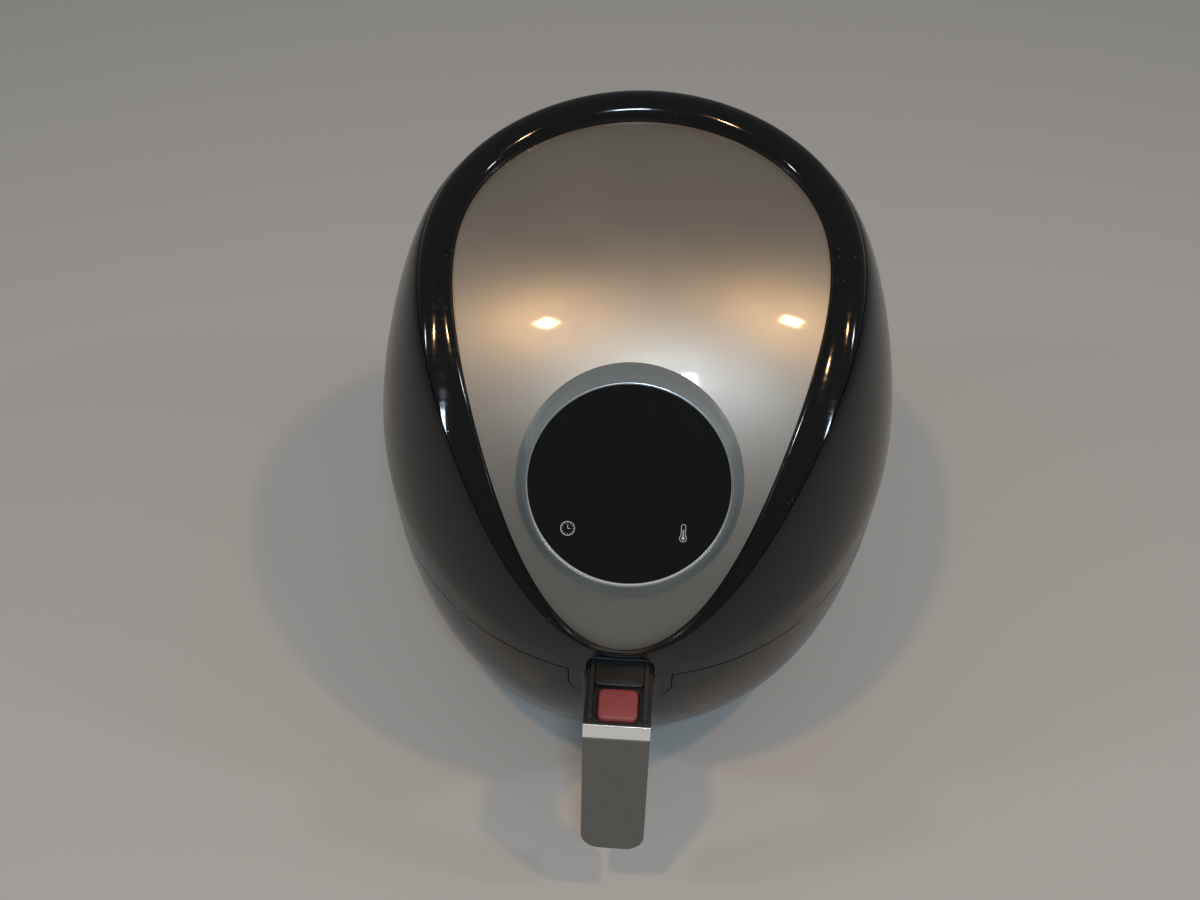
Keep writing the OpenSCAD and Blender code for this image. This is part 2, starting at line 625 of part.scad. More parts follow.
board_x = motor_d / 2 + 12;                 // the board stands beside the motor, on its bracket
bracket_t = 1.5;
board_w = 60;
board_h = 44;
module board_bracket() color("#a7a9ab") {
    block([board_x - 4, -board_w / 2, motor_z + 0.1], [board_x + 12, board_w / 2, motor_z + 0.1 + bracket_t]);
    block([board_x, -board_w / 2, motor_z + 0.1], [board_x + bracket_t, board_w / 2, motor_z + board_h + 8]);
}

module power_board() color("#1f5a33") translate([board_x + bracket_t + 0.1, 0, motor_z + 6]) {
    block([0, -board_w / 2 - 4, 0], [board_t, board_w / 2 + 4, board_h]);
    block([board_t - 0.1, -22, 4], [9, 2, 24]);
    for (z = [10, 30]) translate([board_t - 0.1, 16, z]) rotate([0, 90, 0]) cylinder(d = 12, h = 9, $fn = 32);
    block([board_t - 0.1, -28, 28], [6, -4, 40]);
}

cutout_at = [0, -78];
module thermal_cutout() color("#cfcac0") translate([cutout_at.x, cutout_at.y, dome_top_z + 0.1]) {
    cylinder(d = 16, h = 3, $fn = 48);
    cylinder(d = 11, h = 8, $fn = 48);
}

module air_sensor() color("#d8d8d8") translate([sensor_at.x, sensor_at.y, 0]) {
    translate([0, 0, dome_top_z + 0.1]) cylinder(d = 9, h = 9, $fn = 32);
    translate([0, 0, dome_top_z - 14]) cylinder(d = 3, h = 15, $fn = 24);
}

// The switch behind the chamber, whose plunger the pan's flange presses when the drawer is closed
module drawer_switch() color("#26262a") {
    back = liner_r + sheet_t + 0.1;
    block([-9, back, switch_z - 10], [9, back + 12, switch_z + 8]);
    translate([0, flange_r + fit, switch_z]) rotate([-90, 0, 0])
        cylinder(d = plunger_d, h = back - flange_r, $fn = 32);
}

// ---- drawer, pan and basket --------------------------------------------------------------

recess_z = 114;                             // bottom of the notch that the saddle fills
recess_knee_z = 126;                        // below this height the notch narrows
recess_low_w = handle_w + 5;                // width of the saddle at its bottom
// Half width of the saddle at height z
function saddle_half(z) =
    saddle_w / 2 - (saddle_w - recess_low_w) / 2 * max(0, recess_knee_z - z) / (recess_knee_z - recess_z);
function recess_angle(z) = asin(2 * (saddle_half(max(z, recess_z)) + 1) / body_w);
front_gap = 0.6;
module drawer_front() color("#121214") {
    levels = [drawer_low_z, 27, 38, 52, 68, 84, 100, recess_z, recess_knee_z, drawer_high_z];
    half = 12;
    // shares of the span between the two edges, bunched so that two of them are the recess's sides
    grid = function(d) [for (z = levels)
        let (a = split_angle(z, split_y + front_gap, d),
             r = (180 - recess_angle(z) - a) / (360 - 2 * a),
             u = [for (k = [0 : half]) r * k / half])
        [for (s = concat(u, [0.5], [for (k = [half : -1 : 0]) 1 - u[k]]))
            lower(a + (360 - 2 * a) * s, z, d)]];
    wall_between(grid(0), grid(front_t), ring = false,
        keep = function(i, j) !(levels[i] >= recess_z && (j == half || j == half + 1)));
}

function pan_r(z) = pan_d / 2 - 8 * (pan_top_z - z) / (pan_top_z - pan_z);
trough_z = recess_z - 0.6;
trough_w = saddle_w + 2;
rib_t = 2.5;
rib_z = [drawer_low_z + 21.2, recess_z - 13.5];
post_x = 60;
module drawer_frame() color("#1a1a1c") {
    cheek_x = trough_w / 2 + 2;
    cheek_y = -depth_at(cheek_x, rib_z[1] + rib_t, front_t + rib_gap);
    for (z = rib_z) translate([0, 0, z]) linear_extrude(rib_t) difference() {
        polygon(plan(z, front_t + rib_gap));
        behind(-split_y - front_gap - 0.4);
        circle(r = pan_r(z + rib_t) + fit, $fn = 120);
    }
    for (x = [-1, 1]) {
        block([x * post_x - rib_t / 2, -110, rib_z[0] + rib_t - 0.5],
            [x * post_x + rib_t / 2, -88, rib_z[1] + 0.5]);
        block([x * (cheek_x - 1) - 1, cheek_y, rib_z[1] + rib_t - 0.5],
            [x * (cheek_x - 1) + 1, -pan_d / 2 - 4, seam_z - 3]);
    }
    block([-cheek_x + 1, cheek_y, trough_z - 2], [cheek_x - 1, -pan_d / 2 - 4, trough_z]);
}

module outer_pan() color("#2b2b2d") rotate_extrude($fn = 120) polygon([
    [0, pan_z], [pan_r(pan_z) - 5, pan_z], [pan_r(pan_z), pan_z + 5], [pan_r(pan_top_z), pan_top_z],
    [flange_r, pan_top_z], [flange_r, pan_top_z + pan_t], [pan_r(pan_top_z) - pan_t, pan_top_z + pan_t],
    [pan_r(pan_z) - pan_t, pan_z + 5.5], [pan_r(pan_z) - pan_t - 4, pan_z + pan_t], [0, pan_z + pan_t]]);

basket_z = pan_z + pan_t + basket_lift;
basket_rim_z = pan_top_z + pan_t + 0.2;
basket_draft = 7;
hole_pitch = 16.5;
module fry_basket() color("#3a3a3c") difference() {
    low_r = basket_d / 2 - basket_draft;
    rotate_extrude($fn = 120) polygon([
        [0, basket_z], [low_r - 4, basket_z], [low_r, basket_z + 4], [basket_d / 2, basket_rim_z],
        [flange_r - 0.5, basket_rim_z], [flange_r - 0.5, basket_rim_z + basket_t],
        [basket_d / 2 - basket_t, basket_rim_z + basket_t], [low_r - basket_t, basket_z + 4.4],
        [low_r - basket_t - 3.4, basket_z + basket_t], [0, basket_z + basket_t]]);
    for (ring = [0 : floor((low_r - 12) / hole_pitch)], k = [0 : max(0, 6 * ring - 1)])
        rotate(ring == 0 ? 0 : 60 * k / ring) translate([hole_pitch * ring, 0, basket_z - 1])
            cylinder(d = basket_hole, h = basket_t + 2, $fn = 24);
    for (k = [0 : 23]) rotate(15 * k) translate([low_r - 10, -basket_hole / 2, basket_z + 14])
        cube([30, basket_hole, 50]);
}

strap_z = basket_rim_z + basket_t;
saddle_back = body_front - 18;
strap_w = 44;
module basket_bracket() color("#b5b7b9") difference() {
    block([-strap_w / 2, -saddle_back + 0.2, strap_z], [strap_w / 2, -flange_r + 15, strap_z + 2]);
    block([-6, -saddle_back - 1, strap_z - 1], [6, -saddle_back + 7, strap_z + 3]);
}

// ---- handle ------------------------------------------------------------------------------

saddle_top = drawer_high_z - 0.2;
saddle_front = body_front + 3.5;
platform_z = saddle_top + 0.2;
platform_back = pocket_back_y + 1.5;
pin_y = body_front - 2;
pin_z = seam_z - 5.5;
pin_d = 3;
lever_w = 8;
lever_t = 3;
slot_w = lever_w + 1.2;                     // the slot that the lever turns in
trim_top = [-(handle_corner_y - 0.4), handle_top_z];
trim_low = [-(handle_corner_y + 2.5), handle_top_z - 7.5];
trim_top_t = 0.6;                           // depth of the trim at its top and at its lower edge
trim_low_t = 3.4;
toe = [-handle_front_y, handle_end_z];
cover_t = 3;
cover_top_z = trim_low.y - 1.6;             // height of the inner edge at the cover's top
// How far the front face has leaned out at height z
function face_y(z) = toe.x + (trim_low.x - toe.x) * (z - toe.y) / (trim_low.y - toe.y);
block_low = 126;
well_y = [-(handle_corner_y - 2.6), -(handle_corner_y - 3.2 - button_l)];
button_mid_y = (well_y[0] + well_y[1]) / 2;

// An [x, z] outline extruded between two depths in front of the axis
module front_view(points, from, to)
    translate([0, -from, 0]) rotate([90, 0, 0]) linear_extrude(to - from) polygon(points);

// It lies flush with the drawer front, and a short neck reaches forward to the handle
module handle_saddle() color("#161618") difference() {
    half = saddle_w / 2;
    neck = handle_w / 2 + 0.3;
    cheek = 3;
    low = recess_z + 0.5;
    flush = function(x) -depth_at(x, recess_knee_z, 0.2);
    right = concat([[half, -saddle_back]],
        [for (k = [0 : 3]) let (x = half - (half - neck - cheek) * k / 3) [x, flush(x)]],
        [for (a = [15 : 15 : 90]) let (y = flush(neck + cheek))
            [neck + cheek * (1 - sin(a)), y - (saddle_front + y) * (1 - cos(a))]]);
    left = [for (k = [len(right) - 1 : -1 : 0]) [-right[k].x, right[k].y]];
    side = [[half, saddle_top], [half, recess_knee_z], [saddle_half(low), low]];
    intersection() {
        translate([0, 0, low]) linear_extrude(saddle_top - low) polygon(concat(right, left));
        front_view(concat(side, [for (k = [2 : -1 : 0]) [-side[k].x, side[k].y]]),
            saddle_back - 1, saddle_front + 1);
    }
    block([-slot_w / 2, -saddle_front - 1, pin_z - 10], [slot_w / 2, -saddle_back + 1, saddle_top + 1]);
    translate([-15, -pin_y, pin_z]) rotate([0, 90, 0]) cylinder(d = pin_d + 0.1, h = 30, $fn = 32);
}

module front_shape(w, low, high, r) rotate([90, 0, 0]) translate([0, 0, 100]) linear_extrude(150) {
    translate([-w / 2, low + r]) square([w, high - low - r]);
    translate([-w / 2 + r, low]) square([w - 2 * r, r + 1]);
    for (x = [-1, 1]) translate([x * (w / 2 - r), low + r]) circle(r, $fn = 48);
}

handle_screw_z = [handle_end_z + 24, handle_top_z - 30];
toe_r = 10;
guard_w = 24.2;
guard_t = 1.6;
guard_z = handle_top_z + 3.6;
guard_y = [well_y[1] - 0.2, -platform_back - 1.5];
rail_t = 2;
rail_x = guard_w / 2 + fit + rail_t / 2;    // the guard slides between two rails
module handle_body() color("#161618") difference() {
    union() {
        intersection() {
            side_view([[-platform_back, platform_z], [-platform_back, handle_top_z],
                [trim_top.x + trim_top_t + 0.2, handle_top_z],
                [trim_low.x + trim_low_t + 0.2, trim_low.y - 0.6],
                [face_y(cover_top_z) + cover_t + 0.2, cover_top_z], [toe.x + cover_t + 0.2, toe.y],
                [toe.x + handle_t, toe.y], [face_y(block_low) + handle_t, block_low],
                [-saddle_front - 0.3, block_low], [-saddle_front - 0.3, platform_z]], handle_w);
            front_shape(handle_w, handle_end_z, handle_top_z + 1, toe_r);
        }
        for (x = [-1, 1]) translate([x * rail_x - rail_t / 2, trim_top.x + 2.4, handle_top_z - 0.1])
            cube([rail_t, guard_y[1] - trim_top.x - 2.4, 5.5]);
    }
    translate([0, button_mid_y, handle_top_z - 14])
        rounded_plate(button_w + 0.8, well_y[1] - well_y[0] + 0.2, 3.2, 20);
    block([-slot_w / 2, well_y[0] + 4, block_low + 2], [slot_w / 2, -saddle_front + 1, platform_z - 1.5]);
    for (z = handle_screw_z) translate([0, 0, z]) rotate([90, 0, 0]) cylinder(d = 3.8, h = 300, $fn = 32);
    for (z = handle_screw_z) translate([0, face_y(z) + handle_t - 3, z])
        rotate([-90, 0, 0]) cylinder(d = 7.4, h = 40, $fn = 32);
}

module handle_cover() color("#6d6d69") intersection() {
    side_view([[trim_low.x, trim_low.y - 0.3], toe, [toe.x + cover_t, toe.y],
        [face_y(cover_top_z) + cover_t, cover_top_z], [trim_low.x + cover_t, trim_low.y - 0.3]], handle_w);
    front_shape(handle_w, handle_end_z, handle_top_z, toe_r);
}

module corner_trim() color("#e8e8e8") side_view(
    [trim_top, trim_low, [trim_low.x + trim_low_t, trim_low.y + 0.2], [trim_top.x + trim_top_t, trim_top.y]],
    handle_w);

module handle_screws() color("#b0b0b0")
    for (z = handle_screw_z) translate([0, face_y(z), z]) rotate([90, 0, 0]) {
        translate([0, 0, 2.5 - handle_t]) cylinder(d = 3, h = handle_t - cover_t - 3, $fn = 32);
        translate([0, 0, 1.2 - handle_t]) cylinder(d = 6.8, h = 1.7, $fn = 32);
    }

module latch_pin() color("#c8c8c8")
    translate([-14, -pin_y, pin_z]) rotate([0, 90, 0]) cylinder(d = pin_d, h = 28, $fn = 32);

lever_front = well_y[0] + 13.4;
module release_latch() color("#8a8c8e") difference() {
    union() {
        block([-lever_w / 2, lever_front, pin_z - lever_t / 2],
            [lever_w / 2, -saddle_back - 1, pin_z + lever_t / 2]);
        block([-lever_w / 2, -saddle_back - 4, pin_z - 8.5], [lever_w / 2, -saddle_back - 1, pin_z]);
        translate([-lever_w / 2, -pin_y, pin_z]) rotate([0, 90, 0]) cylinder(d = 5, h = lever_w, $fn = 32);
    }
    translate([-15, -pin_y, pin_z]) rotate([0, 90, 0]) cylinder(d = pin_d + 0.1, h = 30, $fn = 32);
}

button_top = handle_top_z + 2.9;
button_low = pin_z + lever_t / 2 + button_travel + 1.1;
push_d = 3.6;
module release_button() color("#a83c40") {
    translate([0, button_mid_y, button_low]) rounded_plate(button_w, button_l, 3, button_top - button_low);
    translate([0, lever_front + push_d / 2 + 0.1, pin_z + lever_t / 2 + 0.2])
        cylinder(d = push_d, h = button_low - pin_z - lever_t / 2, $fn = 32);
}

// A coil spring of round wire, swept as a ring of points along a helix
spring_low = handle_top_z - 13.9;
spring_y = well_y[0] + 4.4;
module button_spring() color("#c8c8c8") {
    turns = 4;
    sides = 6;
    steps = 12 * turns;
    wire = 0.7;
    height = button_low - spring_low - wire - 0.1;
    point = function(k, s) let (a = 360 * turns * k / steps, b = 360 * s / sides, r = 3 + wire / 2 * cos(b))
        [r * cos(a), spring_y + r * sin(a), spring_low + wire / 2 + height * k / steps + wire / 2 * sin(b)];
    polyhedron([for (k = [0 : steps], s = [0 : sides - 1]) point(k, s)],
        concat([[for (s = [0 : sides - 1]) s]], [[for (s = [sides - 1 : -1 : 0]) steps * sides + s]],
            [for (k = [0 : steps - 1], s = [0 : sides - 1]) each
                let (a = k * sides + s, b = k * sides + (s + 1) % sides)
                [[a, a + sides, b + sides], [a, b + sides, b]]]));
}

module button_guard() color("#3a3a3c")
    block([-guard_w / 2, guard_y[0], guard_z], [guard_w / 2, guard_y[1], guard_z + guard_t]);

// ---- drawing -----------------------------------------------------------------------------

module in_frame() translate([0, frame_y, 0]) children();

in_frame() upper_housing();
in_frame() top_rim();
in_frame() top_panel();
in_frame() display_bezel();
in_frame() glass_ring();
in_frame() display_glass();
in_frame() display_holder();
in_frame() control_board();
in_frame() handle_pocket();
in_frame() rear_grille();
in_frame() exhaust_duct();
in_frame() lower_housing();
in_frame() front_frame();
in_frame() chamber_liner();
in_frame() chamber_floor();
in_frame() drawer_runners();
in_frame() base_tray();
in_frame() rubber_feet();
in_frame() base_screws();
in_frame() cord_gland();
in_frame() chamber_top();
in_frame() heat_dome();
in_frame() heating_coil();
in_frame() coil_guard();
in_frame() motor();
in_frame() motor_bracket();
in_frame() shaft_bushes();
in_frame() power_board();
in_frame() board_bracket();
in_frame() thermal_cutout();
in_frame() air_sensor();
in_frame() drawer_switch();
in_frame() fan_shaft();
in_frame() hot_fan();
in_frame() cooling_fan();
in_frame() drawer_front();
in_frame() drawer_frame();
in_frame() outer_pan();
in_frame() fry_basket();
in_frame() basket_bracket();
in_frame() handle_saddle();
in_frame() handle_body();
in_frame() handle_cover();
in_frame() corner_trim();
in_frame() handle_screws();
in_frame() latch_pin();
in_frame() button_spring();
in_frame() release_button();
in_frame() release_latch();
in_frame() button_guard();
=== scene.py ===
# %% [markdown]
# # An egg-shaped air fryer
# The construction comes ready made: shells, drawer, basket, latch, fan and fasteners are solids at
# their real size, in one frame. This notebook dresses them. It remakes the moulded skins as smooth
# meshes from the same rules as the solids, softens every edge that a hand or an eye meets, and gives
# each surface its finish. Lengths are metres, +Z is up and the drawer slides out towards -Y.

# %% Load the frame
import math

import bmesh
import bpy
import numpy as np
from mathutils import Matrix, Vector


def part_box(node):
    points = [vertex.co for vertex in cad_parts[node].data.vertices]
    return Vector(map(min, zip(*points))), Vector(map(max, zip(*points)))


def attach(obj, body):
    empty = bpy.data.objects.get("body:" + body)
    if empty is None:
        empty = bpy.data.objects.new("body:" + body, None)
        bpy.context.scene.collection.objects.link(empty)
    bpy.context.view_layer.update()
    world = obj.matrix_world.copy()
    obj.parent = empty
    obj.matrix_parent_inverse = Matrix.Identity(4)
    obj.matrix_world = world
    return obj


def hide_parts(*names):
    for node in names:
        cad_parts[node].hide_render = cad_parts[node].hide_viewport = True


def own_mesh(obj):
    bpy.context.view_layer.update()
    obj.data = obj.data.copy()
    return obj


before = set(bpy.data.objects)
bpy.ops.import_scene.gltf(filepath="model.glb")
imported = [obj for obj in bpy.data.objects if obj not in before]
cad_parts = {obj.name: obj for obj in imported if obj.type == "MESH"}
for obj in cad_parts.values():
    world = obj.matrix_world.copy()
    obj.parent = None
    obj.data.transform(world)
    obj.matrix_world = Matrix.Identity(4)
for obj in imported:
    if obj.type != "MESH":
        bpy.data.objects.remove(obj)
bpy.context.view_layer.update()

MM = 0.001

# %% [markdown]
# A few helpers serve everything below. `show` puts a mesh, a lamp or the camera into the scene.
# `add_node` adds a node, in a material, in the room or in a Geometry Nodes tree. A `Wire` is a node's
# output that takes part in sums, so that a pattern or a rule reads as a formula and not as wiring.

# %% Objects, nodes and wires
def show(name, data):
    """An object in the scene, at the origin."""
    made = bpy.data.objects.new(name, data)
    bpy.context.scene.collection.objects.link(made)
    return made


def add_node(tree, kind, feeds=None, **settings):
    """Adds a node with its settings. Each input is fed by a wire or set to a value."""
    made = tree.nodes.new(kind)
    for key, value in settings.items():
        setattr(made, key, value)
    for socket, source in (feeds or {}).items():
        if isinstance(source, Wire):
            tree.links.new(source.socket, made.inputs[socket])
        else:
            made.inputs[socket].default_value = source
    return made


def wire(tree, kind, feeds=None, output=0, **settings):
    """Adds a node and gives one of its outputs."""
    return Wire(add_node(tree, kind, feeds, **settings).outputs[output])


class Wire:
    """A node's output, with sums and ranges that add the nodes they need."""

    def __init__(self, socket):
        self.socket = socket

    def node(self, kind, feeds, output=0, **settings):
        return wire(self.socket.id_data, kind, feeds, output, **settings)

    def then(self, operation, other=0.0):
        return self.node("ShaderNodeMath", {0: self, 1: other}, operation=operation)

    def __add__(self, other):
        return self.then("ADD", other)

    def __sub__(self, other):
        return self.then("SUBTRACT", other)

    def __mul__(self, other):
        return self.then("MULTIPLY", other)

    def __truediv__(self, other):
        return self.then("DIVIDE", other)

    def between(self, from_low, from_high, to_low=0.0, to_high=1.0):
        """The value carried from one range to another, and held at the ends."""
        feeds = {"Value": self, "From Min": from_low, "From Max": from_high,
                 "To Min": to_low, "To Max": to_high}
        return self.node("ShaderNodeMapRange", feeds)

    def colours(self, low, high):
        """A colour between two, with this value as the share of the second."""
        feeds = {"Factor": self, "A": (*low, 1), "B": (*high, 1)}
        return self.node("ShaderNodeMix", feeds, "Result", data_type="RGBA")


# %% [markdown]
# ## The camera
# A hand-held look down over the front of the appliance, from about head height over a low table.
# The camera could be aimed with a constraint, but a place and three angles say the same thing with
# nothing left live, so they are turned into one matrix here.

# %% Camera
camera_place = Vector((7.7, -426.2, 671.2)) * MM
camera_down = math.radians(49.9)
camera_turn = math.radians(-3.5)
camera_roll = math.radians(0.35)


def camera_axes(down, turn, roll):
    forward = Vector((math.sin(turn) * math.cos(down), math.cos(turn) * math.cos(down), -math.sin(down)))
    right = Vector((math.cos(turn), -math.sin(turn), 0))
    up = right.cross(forward)
    x_axis = math.cos(roll) * right + math.sin(roll) * up
    y_axis = math.cos(roll) * up - math.sin(roll) * right
    return Matrix((x_axis, y_axis, -forward)).transposed()


camera_data = bpy.data.cameras.new("camera")
camera_data.sensor_width = 36
camera_data.lens = 36
camera = show("camera", camera_data)
turn_of_camera = camera_axes(camera_down, camera_turn, camera_roll).to_4x4()
camera.matrix_world = Matrix.Translation(camera_place) @ turn_of_camera
bpy.context.scene.camera = camera
print("camera at", [round(v, 3) for v in camera.location])

# %% [markdown]
# ## Light and floor
# One cool box stands above and behind the camera, and its reflection falls on the panel above the
# display. A small warm lamp at each side draws the bead and warms the panel's flanks, and two weak
# ones further out give the bead its sparks. They are smaller than a studio's soft boxes, because
# gloss shows every lamp as a shape. The floor and the room are plain. Rays that reach the camera
# directly, by gloss or through glass see the room dark, so that black plastic stays black, while the
# diffuse light from the room is stronger and fills the shadows.

# %% Light and floor
aim_point = Vector((0, 0, 0.2))


def lamp(name, place, width, height, power, tint=(1, 1, 1)):
    light = bpy.data.lights.new(name, "AREA")
    light.shape = "RECTANGLE"
    light.size, light.size_y = width, height
    light.energy = power
    light.color = tint
    box = show(name, light)
    box.location = place
    box.rotation_euler = (aim_point - Vector(place)).to_track_quat("-Z", "Y").to_euler()


cool, warm = (0.72, 0.87, 1), (1, 0.62, 0.30)
lamp("key_box", (0.12, -0.87, 1.5), 0.24, 0.15, 8, cool)
lamp("left_box", (-0.36, -0.36, 1.5), 0.07, 0.07, 4.4, warm)
lamp("right_box", (0.56, -0.18, 1.5), 0.07, 0.07, 4.4, warm)
lamp("left_spark", (-1.1, -0.25, 1.1), 0.1, 0.1, 2)
lamp("right_spark", (1.1, -0.1, 1.15), 0.1, 0.1, 2)

room_colour = (0.125, 0.135, 0.14, 1)
seen_strength, felt_strength = 1, 2.3
world = bpy.data.worlds.new("room")
bpy.context.scene.world = world
world.use_nodes = True
room = world.node_tree
room.nodes.clear()
seen = wire(room, "ShaderNodeBackground", {"Color": room_colour, "Strength": seen_strength})
felt = wire(room, "ShaderNodeBackground", {"Color": room_colour, "Strength": felt_strength})
rays = add_node(room, "ShaderNodeLightPath").outputs
is_seen = Wire(rays["Is Camera Ray"])
for ray in ("Is Glossy Ray", "Is Transmission Ray"):
    is_seen = is_seen.then("MAXIMUM", Wire(rays[ray]))
chosen = wire(room, "ShaderNodeMixShader", {"Fac": is_seen, 1: felt, 2: seen})
add_node(room, "ShaderNodeOutputWorld", {"Surface": chosen})

half_floor = 4.0
floor_mesh = bpy.data.meshes.new("floor")
floor_corners = [(x * half_floor, y * half_floor, 0) for x, y in ((-1, -1), (1, -1), (1, 1), (-1, 1))]
floor_mesh.from_pydata(floor_corners, [], [(0, 1, 2, 3)])
floor_paint = bpy.data.materials.new("pale_floor")
floor_paint.use_nodes = True
floor_shader = floor_paint.node_tree.nodes["Principled BSDF"]
floor_shader.inputs["Base Color"].default_value = (0.395, 0.40, 0.40, 1)
floor_shader.inputs["Roughness"].default_value = 0.7
floor_mesh.materials.append(floor_paint)
show("floor", floor_mesh)
bpy.context.scene.view_settings.view_transform = "Standard"

# %% [markdown]
# ## The rules of the body
# The body is an egg cut by one drop-shaped, sloping panel. Two rules describe all of its skins.
# `lower` gives the ellipse of the body at each height, swelling from the foot to the belly. `upper`
# carries that ellipse on over the shoulder, in to the bead around the panel. A sculpted mesh would
# look alike, but with rules the seams, the window over the handle and the bead all share one surface,
# and any of them can be made as fine as the eye needs.

# %% Body rules
axis_y = sum(c.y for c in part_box("fan_shaft")) / 2
seam_z = (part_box("drawer_front")[1].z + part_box("upper_housing")[0].z) / 2
body_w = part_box("upper_housing")[1].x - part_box("upper_housing")[0].x
body_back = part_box("upper_housing")[1].y - axis_y
body_front = 158 * MM
foot_w = 212 * MM
foot_reach = 98 * MM
fullness = 2.7
belly_z = 175 * MM
belly_front_z = 146 * MM
shoulder = 1.28
wall = 2.4 * MM
seam_gap = 0.4 * MM


def frontness(t):
    return np.maximum(0, -np.cos(t))


def backness(t):
    return np.maximum(0, np.cos(t))


def belly(t):
    return belly_z - (belly_z - belly_front_z) * frontness(t) ** 2


def lower(t, z, d=0.0):
    """Points of the lower body at azimuths t (back 0, right a quarter turn) and heights z, d inside."""
    g = 1 - (1 - np.minimum(1, z / belly(t))) ** fullness
    side = foot_w / 2 + (body_w - foot_w) / 2 * g
    full_reach = np.where(np.cos(t) > 0, body_back, body_front)
    reach = foot_reach + (full_reach - foot_reach) * g
    return np.stack([(side - d) * np.sin(t), (reach - d) * np.cos(t), z + 0 * t], -1)


print("axis at y", round(axis_y, 4), "seam at", round(seam_z, 4), "width", round(body_w, 4))

# %% [markdown]
# The panel is a sheet that starts level at the back and falls ever more steeply to the tip, with a
# slight crown from side to side. Its outline is a drop. The bead around it is a half round at the
# back and sides, and towards the front it fades until it is only the quarter round that turns the
# shoulder down into the panel.

# %% Panel and bead rules
panel_back_z = 305 * MM
panel_tip_z = 157.5 * MM
panel_back_y = 74 * MM
panel_tip_y = 154 * MM
panel_bend = 2.8
panel_half = 89 * MM
panel_taper = 21 * MM
outline_square = 5.5 * MM
outline_nose = 9.5 * MM
panel_crown = 0.0011 / MM
panel_t = 2.4 * MM
panel_gap = 0.3 * MM
rim_w = 16.5 * MM
rim_tip_w = 4 * MM
rim_back_w = 22.5 * MM
rim_h = 5 * MM
rim_back_h = 10 * MM
crease = 1.5 * MM
ledge_w = 5 * MM
fade_from, fade_over = 0.05, 0.55
nudge = 0.005
panel_drop = panel_back_z - panel_tip_z
outline_mid_y = (panel_back_y - panel_tip_y) / 2
outline_half_l = (panel_back_y + panel_tip_y) / 2


def panel_run(y):
    return np.maximum(0, (panel_back_y - y) / (2 * outline_half_l))


def panel_z(x, y):
    return panel_back_z - panel_drop * panel_run(y) ** panel_bend - panel_crown * x * x


def panel_slope(y):
    return panel_drop * panel_bend / (2 * outline_half_l) * panel_run(y) ** (panel_bend - 1)


def outline(t):
    s = -np.cos(t)
    width = panel_half - panel_taper * s + outline_square * s * s + outline_nose * s ** 3
    return np.stack([np.sin(t) * width, outline_mid_y - outline_half_l * s], -1)


def beside(t, h):
    """Points at distance h outside the outline."""
    d = outline(t + nudge) - outline(t - nudge)
    d = d / np.linalg.norm(d, axis=-1, keepdims=True)
    normal = np.stack([-d[..., 1], d[..., 0]], -1)
    return outline(t) + np.asarray(h)[..., None] * normal


def fade(t):
    """How far the bead has faded to a quarter round: 0 at the back and sides, 1 at the front."""
    q = np.clip((fade_from - np.cos(t)) / fade_over, 0, 1)
    return q * q * (3 - 2 * q)


def rim_width(t):
    return rim_w + (rim_tip_w - rim_w) * frontness(t) ** 2 + (rim_back_w - rim_w) * backness(t) ** 2


def rim_rise(t):
    return (rim_h + (rim_back_h - rim_h) * backness(t) ** 2) * (1 - 0.5 * fade(t))


def outline_z(t):
    o = outline(t)
    return panel_z(o[..., 0], o[..., 1])


def rim_base_z(t):
    return outline_z(t) - crease * (1 - fade(t)) + rim_rise(t) * fade(t)


def upper(t, phi, d=0.0):
    """Points of the upper body, from the belly (phi 0) to the bead's outer crease (a quarter turn)."""
    w = lower(t, belly(t), d)
    e = beside(t, rim_width(t) - d)
    top = rim_base_z(t) - d
    c = np.maximum(0, np.cos(phi)) ** shoulder
    s = np.maximum(0, np.sin(phi)) ** shoulder
    return np.stack([e[..., 0] + (w[..., 0] - e[..., 0]) * c, e[..., 1] + (w[..., 1] - e[..., 1]) * c,
                     w[..., 2] + (top - w[..., 2]) * s], -1)


print("panel falls", round(panel_drop, 4), "over", round(2 * outline_half_l, 4))

# %% [markdown]
# ## Turning rules into skins
# A moulded skin has an outside, an inside and edges all round, also round its windows. Solidify could
# thicken a sheet, but here the inside is known as exactly as the outside, so both grids are joined
# cell by cell. A cell that a window needs is left out, and one at a bevelled corner is halved along
# its diagonal. A fine bevel then breaks every sharp edge, because a real moulding always shows a thin
# line of light there.

# %% Mesh helpers
sharp_from = 38


def form_of(points, faces):
    """A bmesh of points and faces."""
    sketch = bpy.data.meshes.new("sketch")
    sketch.from_pydata([tuple(p) for p in points], [], faces)
    form = bmesh.new()
    form.from_mesh(sketch)
    bpy.data.meshes.remove(sketch)
    return form


def merged(form, distance):
    bmesh.ops.remove_doubles(form, verts=form.verts, dist=distance)
    bmesh.ops.recalc_face_normals(form, faces=form.faces)
    return form


def object_of(form, name, sharp=sharp_from):
    """A smooth object of a bmesh, with sharp edges from an angle in degrees."""
    for face in form.faces:
        face.smooth = True
    mesh = bpy.data.meshes.new(name)
    form.to_mesh(mesh)
    form.free()
    if sharp:
        mesh.set_sharp_from_angle(angle=math.radians(sharp))
    return show(name, mesh)


def raw(name, points, faces):
    """A plain mesh object that no body carries yet, to be joined, copied or grown from."""
    return object_of(merged(form_of(points, faces), 1e-7), name, None)


def dress(piece, body, paint, stands_for):
    """Gives a piece its finish, its body and the solids it stands for."""
    piece.data.materials.clear()
    piece.data.materials.append(paint)
    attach(piece, body)
    if stands_for:
        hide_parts(*stands_for)
    print(piece.name, "faces", len(piece.data.polygons))
    return piece


